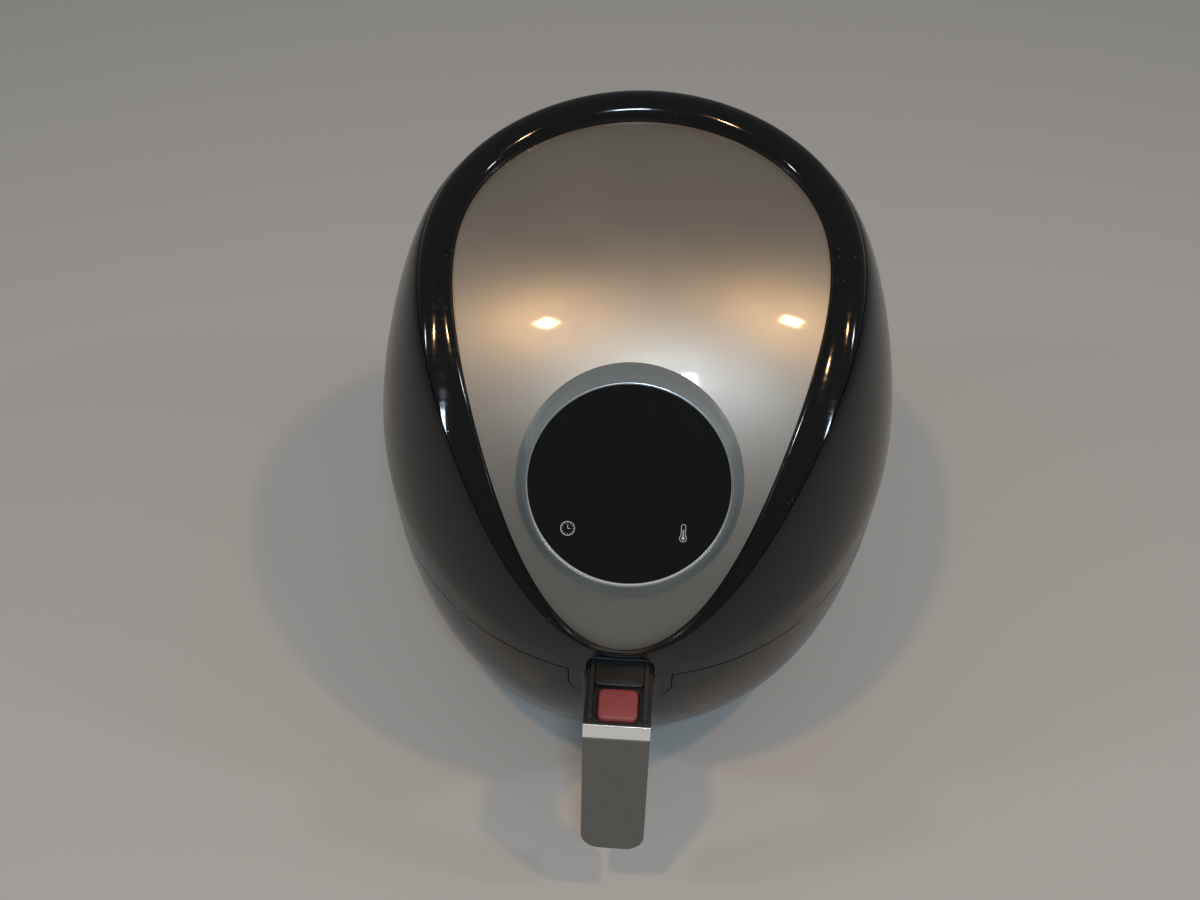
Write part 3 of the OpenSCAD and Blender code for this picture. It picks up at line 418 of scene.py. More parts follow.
def add_piece(name, points, faces, body, paint, stands_for):
    form = form_of(points, faces)
    bmesh.ops.delete(form, geom=[v for v in form.verts if not v.link_faces], context="VERTS")
    return dress(object_of(merged(form, 1e-6), name), body, paint, stands_for)


def soften(piece, width, segments=2, angle=sharp_from):
    bevel = piece.modifiers.new("soft_edges", "BEVEL")
    bevel.width = width
    bevel.segments = segments
    bevel.limit_method = "ANGLE"
    bevel.angle_limit = math.radians(angle)
    bevel.harden_normals = True


# %% Skin builder
# What a cell of the grid can be. A halved cell keeps the upper corner on its named side.
OPEN, WHOLE, LEFT_HALF, RIGHT_HALF = range(4)


def skin(name, outer, inner, body, paint, stands_for, cells=None, ring=True):
    """A wall between two matching grids [row, column, xyz], which may close to a ring."""
    rows, cols = outer.shape[:2]
    if cells is None:
        cells = np.full((rows - 1, cols if ring else cols - 1), WHOLE)
    spans = cells.shape[1]
    faces = []

    def kind(i, j):
        inside = 0 <= i < rows - 1 and (ring or 0 <= j < spans)
        return cells[i, j % spans] if inside else OPEN

    def at(side, i, j):
        return (side * rows + i) * cols + j % cols

    def wall_strip(p, q):
        faces.append((at(0, *p), at(0, *q), at(1, *q), at(1, *p)))

    for i, j in zip(*np.nonzero(cells)):
        here = kind(i, j)
        low_l, low_r, high_r, high_l = (i, j), (i, j + 1), (i + 1, j + 1), (i + 1, j)
        edge = {WHOLE: (low_l, low_r, high_r, high_l), LEFT_HALF: (low_l, high_r, high_l),
                RIGHT_HALF: (low_r, high_r, high_l)}[here]
        faces.append(tuple(at(0, *p) for p in edge))
        faces.append(tuple(at(1, *p) for p in reversed(edge)))
        if here == LEFT_HALF:
            wall_strip(low_l, high_r)
        if here == RIGHT_HALF:
            wall_strip(high_l, low_r)
        if here == WHOLE and kind(i - 1, j) == OPEN:
            wall_strip(low_l, low_r)
        if kind(i + 1, j) == OPEN:
            wall_strip(high_r, high_l)
        if here != RIGHT_HALF and kind(i, j - 1) == OPEN:
            wall_strip(high_l, low_l)
        if here != LEFT_HALF and kind(i, j + 1) == OPEN:
            wall_strip(low_r, high_r)
    points = np.concatenate([outer.reshape(-1, 3), inner.reshape(-1, 3)]) + (0, axis_y, 0)
    return add_piece(name, points, faces, body, paint, stands_for)


# %% [markdown]
# ## Finishes
# Every finish is built from noise on object coordinates, so that it stays put when a piece moves and
# looks alike from all sides. `finish` starts a material, `grain` and `specks` make patterns, `rough`
# and `tint` lead them to the surface, and `relief` presses them into it as bump.

# %% Finish helpers
def finish(name, colour, roughness, metallic=0.0, coat=0.0, coat_roughness=0.03, specular=0.5):
    material = bpy.data.materials.new(name)
    material.use_nodes = True
    material.diffuse_color = (*colour, 1)
    looks = {"Base Color": (*colour, 1), "Roughness": roughness, "Metallic": metallic, "Coat Weight": coat,
             "Coat Roughness": coat_roughness, "Specular IOR Level": specular}
    for label, value in looks.items():
        material.node_tree.nodes["Principled BSDF"].inputs[label].default_value = value
    return material


def feed(material, label, source):
    shader = material.node_tree.nodes["Principled BSDF"]
    material.node_tree.links.new(source.socket, shader.inputs[label])


def tint(material, colour):
    feed(material, "Base Color", colour)


def rough(material, value):
    feed(material, "Roughness", value)


def place(material, stretch=(1, 1, 1), turn=(0, 0, 0)):
    """Object coordinates, stretched and turned for a pattern."""
    tree = material.node_tree
    coords = wire(tree, "ShaderNodeTexCoord", None, "Object")
    return wire(tree, "ShaderNodeMapping", {"Vector": coords, "Scale": stretch, "Rotation": turn})


def grain(material, scale, detail=3.0, stretch=(1, 1, 1), turn=(0, 0, 0), distortion=0.0):
    feeds = {"Vector": place(material, stretch, turn), "Scale": scale, "Detail": detail,
             "Distortion": distortion}
    return wire(material.node_tree, "ShaderNodeTexNoise", feeds, "Fac")


def specks(material, scale, size):
    """Small round specks: 1 in a speck, 0 elsewhere. Size is a share of the cell."""
    feeds = {"Vector": place(material), "Scale": scale}
    return wire(material.node_tree, "ShaderNodeTexVoronoi", feeds, "Distance").between(size, size * 0.6)


def relief(material, *layers):
    """Stacks bumps; each layer is (pattern, strength, distance)."""
    below = {}
    for pattern, strength, distance in layers:
        feeds = {"Height": pattern, "Strength": strength, "Distance": distance, **below}
        below = {"Normal": wire(material.node_tree, "ShaderNodeBump", feeds)}
    feed(material, "Normal", below["Normal"])


def scaled(colour, factor, lift=0.0):
    return tuple(factor * c + lift for c in colour)


# %% [markdown]
# The black shells are polished plastic that has been wiped many times: deep gloss, a faint haze of
# fine wipe marks, and a little dust. The bead has the same gloss, a touch sharper. A mirror finish
# would be cleaner, but the haze is what makes the reflection of the table soft.

# %% Gloss plastics
def gloss_plastic(name, colour, low_rough, high_rough, dust):
    made = finish(name, colour, low_rough, specular=0.36)
    smears = grain(made, 9, 4, distortion=0.6)
    wipes = grain(made, 60, 2, stretch=(1, 6, 6), turn=(0.4, 0.2, 0.6))
    rough(made, (smears * wipes).between(0.12, 0.42, low_rough, high_rough))
    settled = specks(made, 260, 0.11) * grain(made, 30, 2).between(0.52, 0.66)
    tint(made, settled.colours(colour, scaled(colour, 1, dust)))
    relief(made, (grain(made, 420, 2), 0.03, 0.00004), (settled, 0.2, 0.00005))
    return made


shell_black = gloss_plastic("gloss_shell", (0.007, 0.007, 0.0075), 0.12, 0.24, 0.04)
rim_black = gloss_plastic("gloss_rim", (0.005, 0.005, 0.006), 0.05, 0.13, 0.05)

# %% [markdown]
# The panel is painted silver: aluminium flakes under a thin lacquer. The flakes spread the light of
# the lamps wide, and the lacquer adds a small bright core. The bezel around the display is the same
# kind of paint, and its cooler, bluish tone is painted light: the cool light that falls on it. Both
# get a few hairlines, which a painted panel collects first.

# %% Silver paints
def silver_paint(name, colour, roughness, hairline_depth):
    made = finish(name, colour, roughness, metallic=0.82, coat=0.35, coat_roughness=0.06)
    flakes = grain(made, 2600, 1)
    rough(made, grain(made, 14, 3).between(0.35, 0.65, roughness - 0.03, roughness + 0.04))
    tint(made, flakes.colours(scaled(colour, 0.93), scaled(colour, 1.06)))
    hairlines = grain(made, 34, 2, stretch=(22, 1, 1), turn=(0, 0, 0.25)).between(0.70, 0.74)
    relief(made, (flakes, 0.10, 0.00004), (hairlines, hairline_depth, 0.00004))
    return made


panel_silver = silver_paint("silver_panel", (0.31, 0.295, 0.27), 0.42, 0.25)
# The bezel's bluish colour is painted light: cool light on plain silver paint, not a tint of the paint.
cool_lit_bezel_silver = silver_paint("silver_bezel", (0.40, 0.47, 0.51), 0.36, 0.1)

# %% [markdown]
# Small parts: the display is a polished black screen with finger marks, the trims are bright plating,
# the handle's face is a satin grey with fine lines along it, and the working parts behind it are
# plain black plastic with a fine spark texture.

# %% Display, trims and handle plastics
screen_black = finish("display_glass", (0.003, 0.003, 0.0035), 0.05)
rough(screen_black, grain(screen_black, 45, 5, distortion=1.5).between(0.45, 0.7, 0.035, 0.16))
relief(screen_black, (specks(screen_black, 330, 0.06), 0.1, 0.00003))

bright_plate = finish("bright_trim", (0.90, 0.90, 0.90), 0.16, metallic=0.6)
rough(bright_plate, grain(bright_plate, 50, 3, stretch=(1, 30, 30)).between(0.3, 0.7, 0.10, 0.22))
relief(bright_plate, (grain(bright_plate, 900, 1), 0.02, 0.00001))


def textured_plastic(name, colour, roughness, spark=1500, depth=0.25):
    made = finish(name, colour, roughness)
    cloudy = grain(made, 20, 3)
    rough(made, cloudy.between(0.3, 0.7, roughness - 0.06, roughness + 0.08))
    tint(made, cloudy.between(0.45, 0.75).colours(colour, scaled(colour, 1.25, 0.004)))
    relief(made, (grain(made, spark, 2), depth, 0.00008))
    return made


plain_black = textured_plastic("black_plastic", (0.012, 0.012, 0.013), 0.38)
guard_grey = textured_plastic("smoked_guard", (0.012, 0.0125, 0.0125), 0.30, 1200, 0.1)
button_red = textured_plastic("red_button", (0.19, 0.036, 0.041), 0.5, 1300, 0.12)
rubber_black = textured_plastic("rubber", (0.02, 0.02, 0.02), 0.85, 900, 0.35)
handle_grey = textured_plastic("grey_handle", (0.105, 0.103, 0.095), 0.42, 1100, 0.08)
brushed = grain(handle_grey, 160, 3, stretch=(8, 1, 0.4))
tint(handle_grey, brushed.colours((0.092, 0.090, 0.083), (0.125, 0.122, 0.112)))
print("finishes so far:", sorted(m.name for m in bpy.data.materials))

# %% [markdown]
# The inner parts have plainer finishes, but not flat ones. Pressed sheet shows the faint clouds of
# its plating and fine scratches. The pan and basket carry a dark non-stick coat with a fine orange
# peel. The heater's sheath is tinted brown and blue by its own heat, and the boards are green with a
# weave under the mask. The metals share one function, because they differ only in colour, gloss and
# scratches.

# %% Inner finishes
def sheet_metal(name, colour, roughness, scratch=0.25):
    made = finish(name, colour, roughness, metallic=1.0)
    clouds = grain(made, 16, 4)
    rough(made, clouds.between(0.3, 0.7, roughness - 0.07, roughness + 0.1))
    tint(made, clouds.between(0.35, 0.7).colours(colour, scaled(colour, 0.82)))
    lines = grain(made, 90, 3, stretch=(1, 14, 14), turn=(0.3, 0.1, 0.9))
    relief(made, (lines, scratch, 0.00004), (grain(made, 700, 2), 0.05, 0.00005))
    return made


plated = sheet_metal("plated_sheet", (0.62, 0.62, 0.61), 0.32)
cast_metal = sheet_metal("cast_fan", (0.52, 0.53, 0.53), 0.45, 0.1)
bush_bronze = sheet_metal("bronze", (0.56, 0.38, 0.17), 0.35)
motor_grey = sheet_metal("motor_can", (0.33, 0.34, 0.35), 0.38)
screw_steel = sheet_metal("fastener", (0.55, 0.55, 0.56), 0.28)

coated = finish("coated_sheet", (0.022, 0.022, 0.023), 0.42, coat=0.15, coat_roughness=0.3)
worn = grain(coated, 12, 4)
rough(coated, worn.between(0.3, 0.7, 0.34, 0.52))
tint(coated, worn.between(0.5, 0.75).colours((0.02, 0.02, 0.021), (0.036, 0.035, 0.034)))
relief(coated, (grain(coated, 520, 2), 0.12, 0.0001))

sheath = finish("heater_sheath", (0.13, 0.115, 0.105), 0.48, metallic=0.9)
tint(sheath, grain(sheath, 22, 2).between(0.35, 0.65).colours((0.16, 0.12, 0.09), (0.09, 0.10, 0.13)))
rough(sheath, grain(sheath, 200, 2).between(0.3, 0.7, 0.4, 0.6))
relief(sheath, (grain(sheath, 900, 2), 0.15, 0.00005))

board_green = finish("circuit_board", (0.012, 0.085, 0.03), 0.3, coat=0.4, coat_roughness=0.15)
copper = grain(board_green, 160, 1).between(0.46, 0.54)
tint(board_green, copper.colours((0.010, 0.075, 0.026), (0.020, 0.12, 0.045)))
relief(board_green, (grain(board_green, 900, 1, stretch=(1, 0.2, 1)), 0.1, 0.00005))

icon_white = finish("display_icons", (0.42, 0.43, 0.44), 0.35)
tint(icon_white, grain(icon_white, 900, 1).colours((0.37, 0.38, 0.39), (0.46, 0.47, 0.48)))
relief(icon_white, (grain(icon_white, 1500, 1), 0.05, 0.00002))
print("finishes:", len(bpy.data.materials))

# %% [markdown]
# ## The upper shell
# One moulding from the seam up to the bead. Over the handle it has a window with bevelled corners,
# and at the back a window for the grille. Both could be cut with a Boolean, but that leaves long thin
# faces in a surface this glossy. Here the windows fall on grid lines instead, and a bevelled corner
# is a stair of halved cells.

# %% Bevelled window
def open_window(cells, last_row, first_col, last_col, corner):
    """Opens a window from the lowest row up, with two bevelled top corners."""
    cells[:last_row + 1, first_col:last_col + 1] = OPEN
    for down in range(corner):
        for across in range(corner - down):
            half = across + down == corner - 1
            cells[last_row - down, first_col + across] = LEFT_HALF if half else WHOLE
            cells[last_row - down, last_col - across] = RIGHT_HALF if half else WHOLE


# %% The upper shell
upper_low_z = seam_z + seam_gap
pocket_wall = 1.4 * MM
pocket_half_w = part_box("handle_pocket")[1].x - pocket_wall
pocket_half = math.asin(pocket_half_w / (body_w / 2))
grille_half = math.radians(20)
grille_low, grille_high = math.radians(12), math.radians(38)
pocket_cols, pocket_rows, corner_cells = 54, 19, 6
belly_count = 6
shell_edge = 0.35 * MM

step = math.radians(2)
sides = np.arange(0, math.pi - pocket_half - step / 3, step)
middle = np.linspace(math.pi - pocket_half, math.pi + pocket_half, pocket_cols + 1)
columns = np.concatenate([sides, middle, 2 * math.pi - sides[:0:-1]])
to_pocket = [0, 4, 8, 12, 17, 22, 27, 32.5, 38, 44, 50, 55.5, 61, 66]
shoulder_phis = np.radians(np.concatenate([to_pocket, np.linspace(68, 88, 11)]))


def upper_grid(d):
    lift = np.linspace(0, 1, belly_count + 1)[:-1, None]
    t = columns[None, :]
    low = lower(t + 0 * lift, upper_low_z + (belly(t) - upper_low_z) * lift, d)
    return np.concatenate([low, upper(t + 0 * shoulder_phis[:, None], shoulder_phis[:, None], d)])


def row_at(phi):
    return belly_count + int(np.argmin(abs(shoulder_phis - phi)))


outer_grid = upper_grid(0)
cells = np.full((len(outer_grid) - 1, len(columns)), WHOLE)
open_window(cells, pocket_rows - 1, len(sides), len(sides) + pocket_cols - 1, corner_cells)
# A cell reaches from its column to the next, so the window takes the column on its first edge too.
behind_grille = np.minimum(columns, 2 * math.pi - columns) < grille_half - 1e-6
behind_grille |= np.abs(columns - (2 * math.pi - grille_half)) < 1e-6
cells[row_at(grille_low):row_at(grille_high), behind_grille] = OPEN
upper_shell = skin("upper_shell", outer_grid, upper_grid(wall), "housing", shell_black,
                   ["upper_housing"], cells)
soften(upper_shell, shell_edge)

# %% [markdown]
# ## The bead and the panel
# The bead is its own moulding and covers the joint between shell and panel. Its section changes all
# the way round, from a half round to a quarter round, so it can't be a curve with one bevel profile.
# It is skinned from its own rule. The panel drops inside it with an even gap, and its surface is the
# sheet's rule sampled between the drop outline and the round hole for the display.

# %% Bead
bead_steps = 20
first_share = 0.02
bead_cols = np.radians(np.arange(0, 360, 2.0))


def bead_section(t):
    """[point, azimuth, (distance outside the outline, height)]"""
    f, w, base = fade(t), rim_width(t), outline_z(t)
    o, ledge = outline(t), beside(t, -ledge_w + 0 * t)
    spread_in = 0.5 - 0.5 * np.cos(np.linspace(0, math.pi, bead_steps))
    q = first_share + (1 - first_share) * spread_in[:, None]
    half_round = rim_rise(t) * np.sqrt(np.maximum(0, 1 - (2 * q - 1) ** 2)) - crease * (1 - q)
    quarter_round = rim_rise(t) * np.sqrt(np.maximum(0, 1 - q * q))
    top = np.stack([w * (1 - q), base + (1 - f) * half_round + f * quarter_round], -1)
    seat = []
    for edge, out in ((o, 0 * t), (ledge, -ledge_w + 0 * t)):
        slope = panel_slope(edge[..., 1])
        deep = panel_z(edge[..., 0], edge[..., 1]) - (panel_t + panel_gap) * np.sqrt(1 + slope ** 2)
        seat.append(np.stack([out, deep], -1))
    return np.concatenate([top, np.array(seat)])


def inward(section, t):
    """The same section, offset to the inside by the wall."""
    before = np.concatenate([section[:1], section[:-1]])
    after = np.concatenate([section[1:], section[-1:]])
    d = after - before
    d = d / np.linalg.norm(d, axis=-1, keepdims=True)
    moved = section + wall * np.stack([-d[..., 1], d[..., 0]], -1)
    moved[0] = np.stack([rim_width(t) - wall, rim_base_z(t) - wall], -1)
    return moved


def on_outline(section, t):
    points = [beside(t, row[:, 0]) for row in section]
    return np.stack([np.concatenate([p, row[:, 1:]], -1) for p, row in zip(points, section)])


section = bead_section(bead_cols)
skin("panel_bead", on_outline(section, bead_cols), on_outline(inward(section, bead_cols), bead_cols),
     "housing", rim_black, ["top_rim"])

# %% Panel
display_y = 106 * MM
display_at = Vector((0, axis_y - display_y, float(panel_z(0, -display_y))))
display_tilt = math.atan(float(panel_slope(-display_y)))
display_turn = Matrix.Rotation(display_tilt, 3, "X")
hole_r = 52.4 * MM


def display_hole(t):
    """Points of the panel over a circle square to the display's axis."""
    normal = np.array([0, -math.sin(display_tilt), math.cos(display_tilt)])
    p = np.stack([hole_r * np.sin(t), -display_y + hole_r * np.cos(t) * math.cos(display_tilt),
                  display_at.z + hole_r * np.cos(t) * math.sin(display_tilt)], -1)
    for _ in range(6):
        off = (p[..., 2] - panel_z(p[..., 0], p[..., 1])) * normal[2]
        p = p - off[..., None] * normal
    return p[..., :2]


def under_panel(xy, d):
    s = panel_slope(xy[..., 1])
    length = np.sqrt(1 + s * s)
    z = panel_z(xy[..., 0], xy[..., 1]) - d / length
    return np.stack([xy[..., 0], xy[..., 1] + d * s / length, z], -1)


panel_steps = 26
panel_cols = np.radians(np.arange(0, 360, 2.0))
edge_xy = beside(panel_cols, -panel_gap + 0 * panel_cols)
hole_xy = display_hole(panel_cols)
share = np.linspace(0, 1, panel_steps)[:, None, None]
spread = edge_xy + (hole_xy - edge_xy) * share
panel = skin("silver_panel", under_panel(spread, 0), under_panel(spread, panel_t), "housing", panel_silver,
             ["top_panel"])
soften(panel, 0.5 * MM, 3)

# %% [markdown]
# ## The display
# A turned bezel carries the round glass, square to the panel at its centre. All its round parts are
# lathed from a short profile. A bright ring shows as a thin line between glass and bezel. Blender's
# Screw modifier could turn the profile, but a small function gives a closed seam without merging.

# %% Lathe
level = Matrix.Identity(3)
on_axis = Vector((0, axis_y, 0))


def put(points, turn, spot):
    return [turn @ Vector(p) + Vector(spot) for p in points]


def ring_angles(count=144):
    return np.linspace(0, 2 * math.pi, count, endpoint=False)


def turned(profile, count=144, closed=True):
    """Points and faces of a profile of (radius, height) turned about Z. Both may differ round it."""
    points, index = [], []
    angles = ring_angles(count)
    for r, z in profile:
        if np.ndim(r) == 0 and r < 1e-7:
            ring = [(0.0, 0.0, float(z))]
        else:
            ring = np.stack([r * np.cos(angles), r * np.sin(angles), z + 0 * angles], -1).tolist()
        index.append(list(range(len(points), len(points) + len(ring))))
        points += ring
    faces = []
    for here, there in zip(index, index[1:] + index[:1] if closed else index[1:]):
        if len(here) == 1 and len(there) == 1:
            continue
        for k in range(count):
            n = (k + 1) % count
            quad = [side[m % len(side)] for side, m in ((here, k), (here, n), (there, n), (there, k))]
            faces.append(tuple(dict.fromkeys(quad)))
    return points, faces


def lathe(name, profile, body, paint, stands_for, spot=on_axis, turn=level):
    """A closed profile of (radius, height), turned about its axis and put in its place."""
    points, faces = turned(profile)
    return add_piece(name, put(points, turn, spot), faces, body, paint, stands_for)


def rounded(profile, radius, count=5):
    """Rounds the corners of a closed profile; radius is one value, or one for each corner."""
    radii = radius if isinstance(radius, (list, tuple)) else [radius] * len(profile)
    out = []
    for i, corner in enumerate(profile):
        before, after = Vector(profile[i - 1]), Vector(profile[(i + 1) % len(profile)])
        corner = Vector(corner)
        to_before, to_after = before - corner, after - corner
        reach = min(radii[i], 0.48 * to_before.length, 0.48 * to_after.length)
        if reach < 1e-6:
            out.append(tuple(corner))
            continue
        a = corner + to_before.normalized() * reach
        b = corner + to_after.normalized() * reach
        for k in range(count + 1):
            u = k / count
            out.append(tuple((1 - u) ** 2 * a + 2 * u * (1 - u) * corner + u * u * b))
    return out

# %% [markdown]
# The bezel is a shallow cone that runs out onto the panel. The panel is bent, so the cone meets it
# lower down at the top and bottom than at the sides, and its foot is found for every angle. The
# bright ring is a plated edge round the glass, wide enough to show only on its lower side.

# %% Display pieces
glass_r = 48 * MM
bezel_top = 5.5 * MM
bezel_skirt = 9 * MM
lip_r = glass_r + 0.8 * MM
flank = 0.7
round_display = ring_angles()


def above_panel(r, z):
    """Height over the panel of points given about the display's axis."""
    local = np.stack([r * np.cos(round_display), r * np.sin(round_display), z], -1)
    world = local @ np.array(display_turn).T + np.array(display_at) - (0, axis_y, 0)
    return world[..., 2] - panel_z(world[..., 0], world[..., 1])


near, far = np.zeros(len(round_display)), np.full(len(round_display), 30 * MM)
for _ in range(30):
    drop = (near + far) / 2
    over = above_panel(lip_r + flank * drop, bezel_top - drop) > 0
    near, far = np.where(over, drop, near), np.where(over, far, drop)
foot_r, foot_z = lip_r + flank * near, bezel_top - near
tube_r = glass_r + 2.4 * MM
bezel_profile = [
    (glass_r + 0.1 * MM, -bezel_skirt), (tube_r, -bezel_skirt), (tube_r, bezel_top - 4 * MM),
    (foot_r - 1.3 * MM, foot_z + 0.1 * MM), (foot_r - 0.1 * MM, foot_z - 0.1 * MM), (foot_r, foot_z)]
for u in np.arange(1, 13) / 12:
    bulge = 0.35 * MM * math.sin(math.pi * u)
    bezel_profile.append((foot_r + (lip_r - foot_r) * u + bulge,
                          foot_z + (bezel_top - 0.3 * MM - foot_z) * u + bulge))
bezel_profile += [(lip_r - 0.15 * MM, bezel_top - 0.05 * MM), (lip_r - 0.4 * MM, bezel_top),
                  (glass_r + 0.2 * MM, bezel_top - 0.15 * MM), (glass_r + 0.1 * MM, bezel_top - 0.4 * MM)]
on_display = (display_at, display_turn)
lathe("display_bezel_ring", bezel_profile, "housing", cool_lit_bezel_silver, ["display_bezel"], *on_display)

low_side = np.maximum(0, -np.sin(round_display))
ring_in = glass_r - (0.2 + 0.6 * low_side) * MM
ring_top = bezel_top - 0.5 * MM
ring_profile = [(ring_in, ring_top - 2.6 * MM), (glass_r, ring_top - 2.6 * MM), (glass_r, ring_top),
                (ring_in + 0.1 * MM, ring_top - 0.05 * MM), (ring_in, ring_top - 0.2 * MM)]
lathe("glass_edge_ring", ring_profile, "housing", bright_plate, ["glass_ring"], *on_display)

glass_top = bezel_top - 0.8 * MM
glass_low = glass_top - 2.2 * MM
glass_rim = ring_in - 0.08 * MM
glass_crown = 0.12 * MM
glass_profile = [(0, glass_low), (glass_rim, glass_low), (glass_rim, glass_top - 0.35 * MM)]
for a in np.linspace(1, 0, 12):
    sink = glass_crown * (1 - (math.cos(a) - math.cos(1)) / (1 - math.cos(1)))
    reach = math.sin(a) / math.sin(1)
    glass_profile.append(((glass_rim - 0.15 * MM) * reach if reach else 0.0, glass_top - sink))
lathe("display_screen", glass_profile, "housing", screen_black, ["display_glass"], *on_display)
print("display at", [round(v, 4) for v in display_at], "tilt", round(math.degrees(display_tilt), 2))

# %% [markdown]
# ## Outlines, lofts and joined pieces
# Many visible parts are a flat outline given a thickness, with softened edges. `loft` builds a closed
# stack of rings, and `slab` is the plain case of two equal ones. The display's symbols are such slabs
# too, very thin and a little proud of the crowned glass, as a print on it is.

# %% Outlines and lofts
def arc(x, y, r, from_deg, to_deg, count=8):
    return [(x + r * math.cos(math.radians(a)), y + r * math.sin(math.radians(a)))
            for a in np.linspace(from_deg, to_deg, count + 1)]


def rounded_box(w, l, r):
    out = []
    for x, y, start in ((w / 2 - r, l / 2 - r, 0), (r - w / 2, l / 2 - r, 90),
                        (r - w / 2, r - l / 2, 180), (w / 2 - r, r - l / 2, 270)):
        out += arc(x, y, r, start, start + 90)
    return out


def loft(rings):
    """Points and faces of a closed stack of rings [(outline, z)], capped at both ends."""
    n = len(rings[0][0])
    points = [(x, y, z) for ring, z in rings for x, y in ring]
    faces = [tuple(range(n))[::-1], tuple(range((len(rings) - 1) * n, len(rings) * n))]
    for a in range(0, (len(rings) - 1) * n, n):
        faces += [(a + k, a + (k + 1) % n, a + n + (k + 1) % n, a + n + k) for k in range(n)]
    return points, faces


def slab(outline_points, low, high, turn=level, spot=(0, 0, 0)):
    """An outline in the XY plane, thick from height low to high, turned and moved to its place."""
    points, faces = loft([(outline_points, low), (outline_points, high)])
    return put(points, turn, spot), faces


def join(name, pieces, body, paint, stands_for=(), weld=0.0):
    """Joins pieces into one, and welds borders that meet within the given distance."""
    form = bmesh.new()
    for piece in pieces:
        form.from_mesh(piece.data)
        bpy.data.objects.remove(piece)
    if weld:
        merged(form, weld)
        print(name, "open edges:", sum(not e.is_manifold for e in form.edges))
    return dress(object_of(form, name), body, paint, stands_for)


def moved(piece, turn, spot):
    """Moves a raw piece's mesh to its place, so that the object itself stays at the origin."""
    piece.data.transform(Matrix.Translation(spot) @ turn.to_4x4())
    piece.data.update()
    return piece

# %% [markdown]
# ## Copies by rule
# What repeats, and what follows a path, is laid out by Geometry Nodes: sizes and a stamp go in, and
# one mesh comes out. An Array modifier could turn copies about an empty, but a tree says the rule in
# one place. The first tree turns copies round an axis. It lays out the clock's ticks and, further
# down, the wires of the coil guard.

# %% Geometry Nodes helpers
class Tree:
    """A Geometry Nodes tree in the making. Calling it adds a node and gives one output."""

    def __init__(self, name, inputs):
        """Inputs are given as "Name Type, Name Type". Every tree also gets a material."""
        self.group = bpy.data.node_groups.new(name, "GeometryNodeTree")
        for item in f"Geometry Geometry, {inputs}, Material Material".split(", "):
            label, kind = item.rsplit(" ", 1)
            self.group.interface.new_socket(label, in_out="INPUT", socket_type="NodeSocket" + kind)
        self.group.interface.new_socket("Geometry", in_out="OUTPUT", socket_type="NodeSocketGeometry")
        sockets = add_node(self.group, "NodeGroupInput").outputs
        self.given = {socket.name: Wire(socket) for socket in sockets if socket.name}

    def __call__(self, kind, feeds=None, output=0, **settings):
        return wire(self.group, kind, feeds, output, **settings)

    def circling(self, radius, turn, z=0.0):
        """The place at a radius and an angle about Z."""
        return self("ShaderNodeCombineXYZ", {
            "X": radius * turn.then("COSINE"), "Y": radius * turn.then("SINE"), "Z": z})

    def stamped(self, points, stamp, **more):
        """Copies of a stamp object at points."""
        shape = self("GeometryNodeObjectInfo", {"Object": stamp}, "Geometry")
        return self("GeometryNodeInstanceOnPoints", {"Points": points, "Instance": shape, **more})

    def joined(self, *parts):
        together = add_node(self.group, "GeometryNodeJoinGeometry")
        for part in parts:
            self.group.links.new(part.socket, together.inputs[0])
        return Wire(together.outputs[0])

    def end(self, geometry):
        real = self("GeometryNodeRealizeInstances", {"Geometry": geometry})
        painted = self("GeometryNodeSetMaterial", {"Geometry": real, "Material": self.given["Material"]})
        add_node(self.group, "NodeGroupOutput", {0: painted})
        print("tree", self.group.name, "nodes", len(self.group.nodes))


def dot():
    return raw("base", [(0, 0, 0)], [])


def grown(name, tree, base, paint, values):
    """Runs a tree on a base and gives the result as a plain object. Base and stamps are used up."""
    values = {"Material": paint, **values}
    modifier = base.modifiers.new("rule", "NODES")
    modifier.node_group = tree.group
    for item in tree.group.interface.items_tree:
        if item.in_out == "INPUT" and item.name in values:
            modifier[item.identifier] = values[item.name]
    evaluated = base.evaluated_get(bpy.context.evaluated_depsgraph_get())
    mesh = bpy.data.meshes.new_from_object(evaluated)
    mesh.name = name
    for used in [base, *values.values()]:
        if isinstance(used, bpy.types.Object):
            bpy.data.objects.remove(used)
    return show(name, mesh)


# %% The ring tree
tau = 2 * math.pi
ring_tree = Tree("ring_of_copies", "Count Int, Radius Float, Start Float, Stamp Object")
given = ring_tree.given
index = ring_tree("GeometryNodeInputIndex")
turn_of_copy = index / given["Count"] * tau + given["Start"]
copy_at = ring_tree.circling(given["Radius"], turn_of_copy)
facing = ring_tree("ShaderNodeCombineXYZ", {"Z": turn_of_copy})
dots = ring_tree("GeometryNodePoints", {"Count": given["Count"], "Position": copy_at})
ring_tree.end(ring_tree.stamped(dots, given["Stamp"], Rotation=facing))


def ring_of(name, stamp, count, radius, paint, start=0.0):
    values = {"Count": count, "Radius": radius, "Start": start, "Stamp": stamp}
    return grown(name, ring_tree, dot(), paint, values)


# %% [markdown]
# The two symbols say which side of the glass sets the time and which the heat. Each is a thin print
# on the glass: a clock with twelve ticks and its hands at three, and a thermometer.

# %% Display symbols
print_low, print_high = glass_top - 0.14 * MM, glass_top + 0.015 * MM


def band(outer, inner):
    """A flat closed ribbon of print between two outlines of the same number of points."""
    n = len(outer)
    rings = [(outer, print_low), (outer, print_high), (inner, print_high), (inner, print_low)]
    points = [(x, y, z) for ring, z in rings for x, y in ring]
    faces = [(i * n + k, i * n + (k + 1) % n, (i + 1) % 4 * n + (k + 1) % n, (i + 1) % 4 * n + k)
             for i in range(4) for k in range(n)]
    return raw("band", points, faces)


def patch(outline_points):
    return raw("patch", *slab(outline_points, print_low, print_high))


def circle(r, count=40):
    return arc(0, 0, r, 0, 360 * (1 - 1 / count), count - 1)


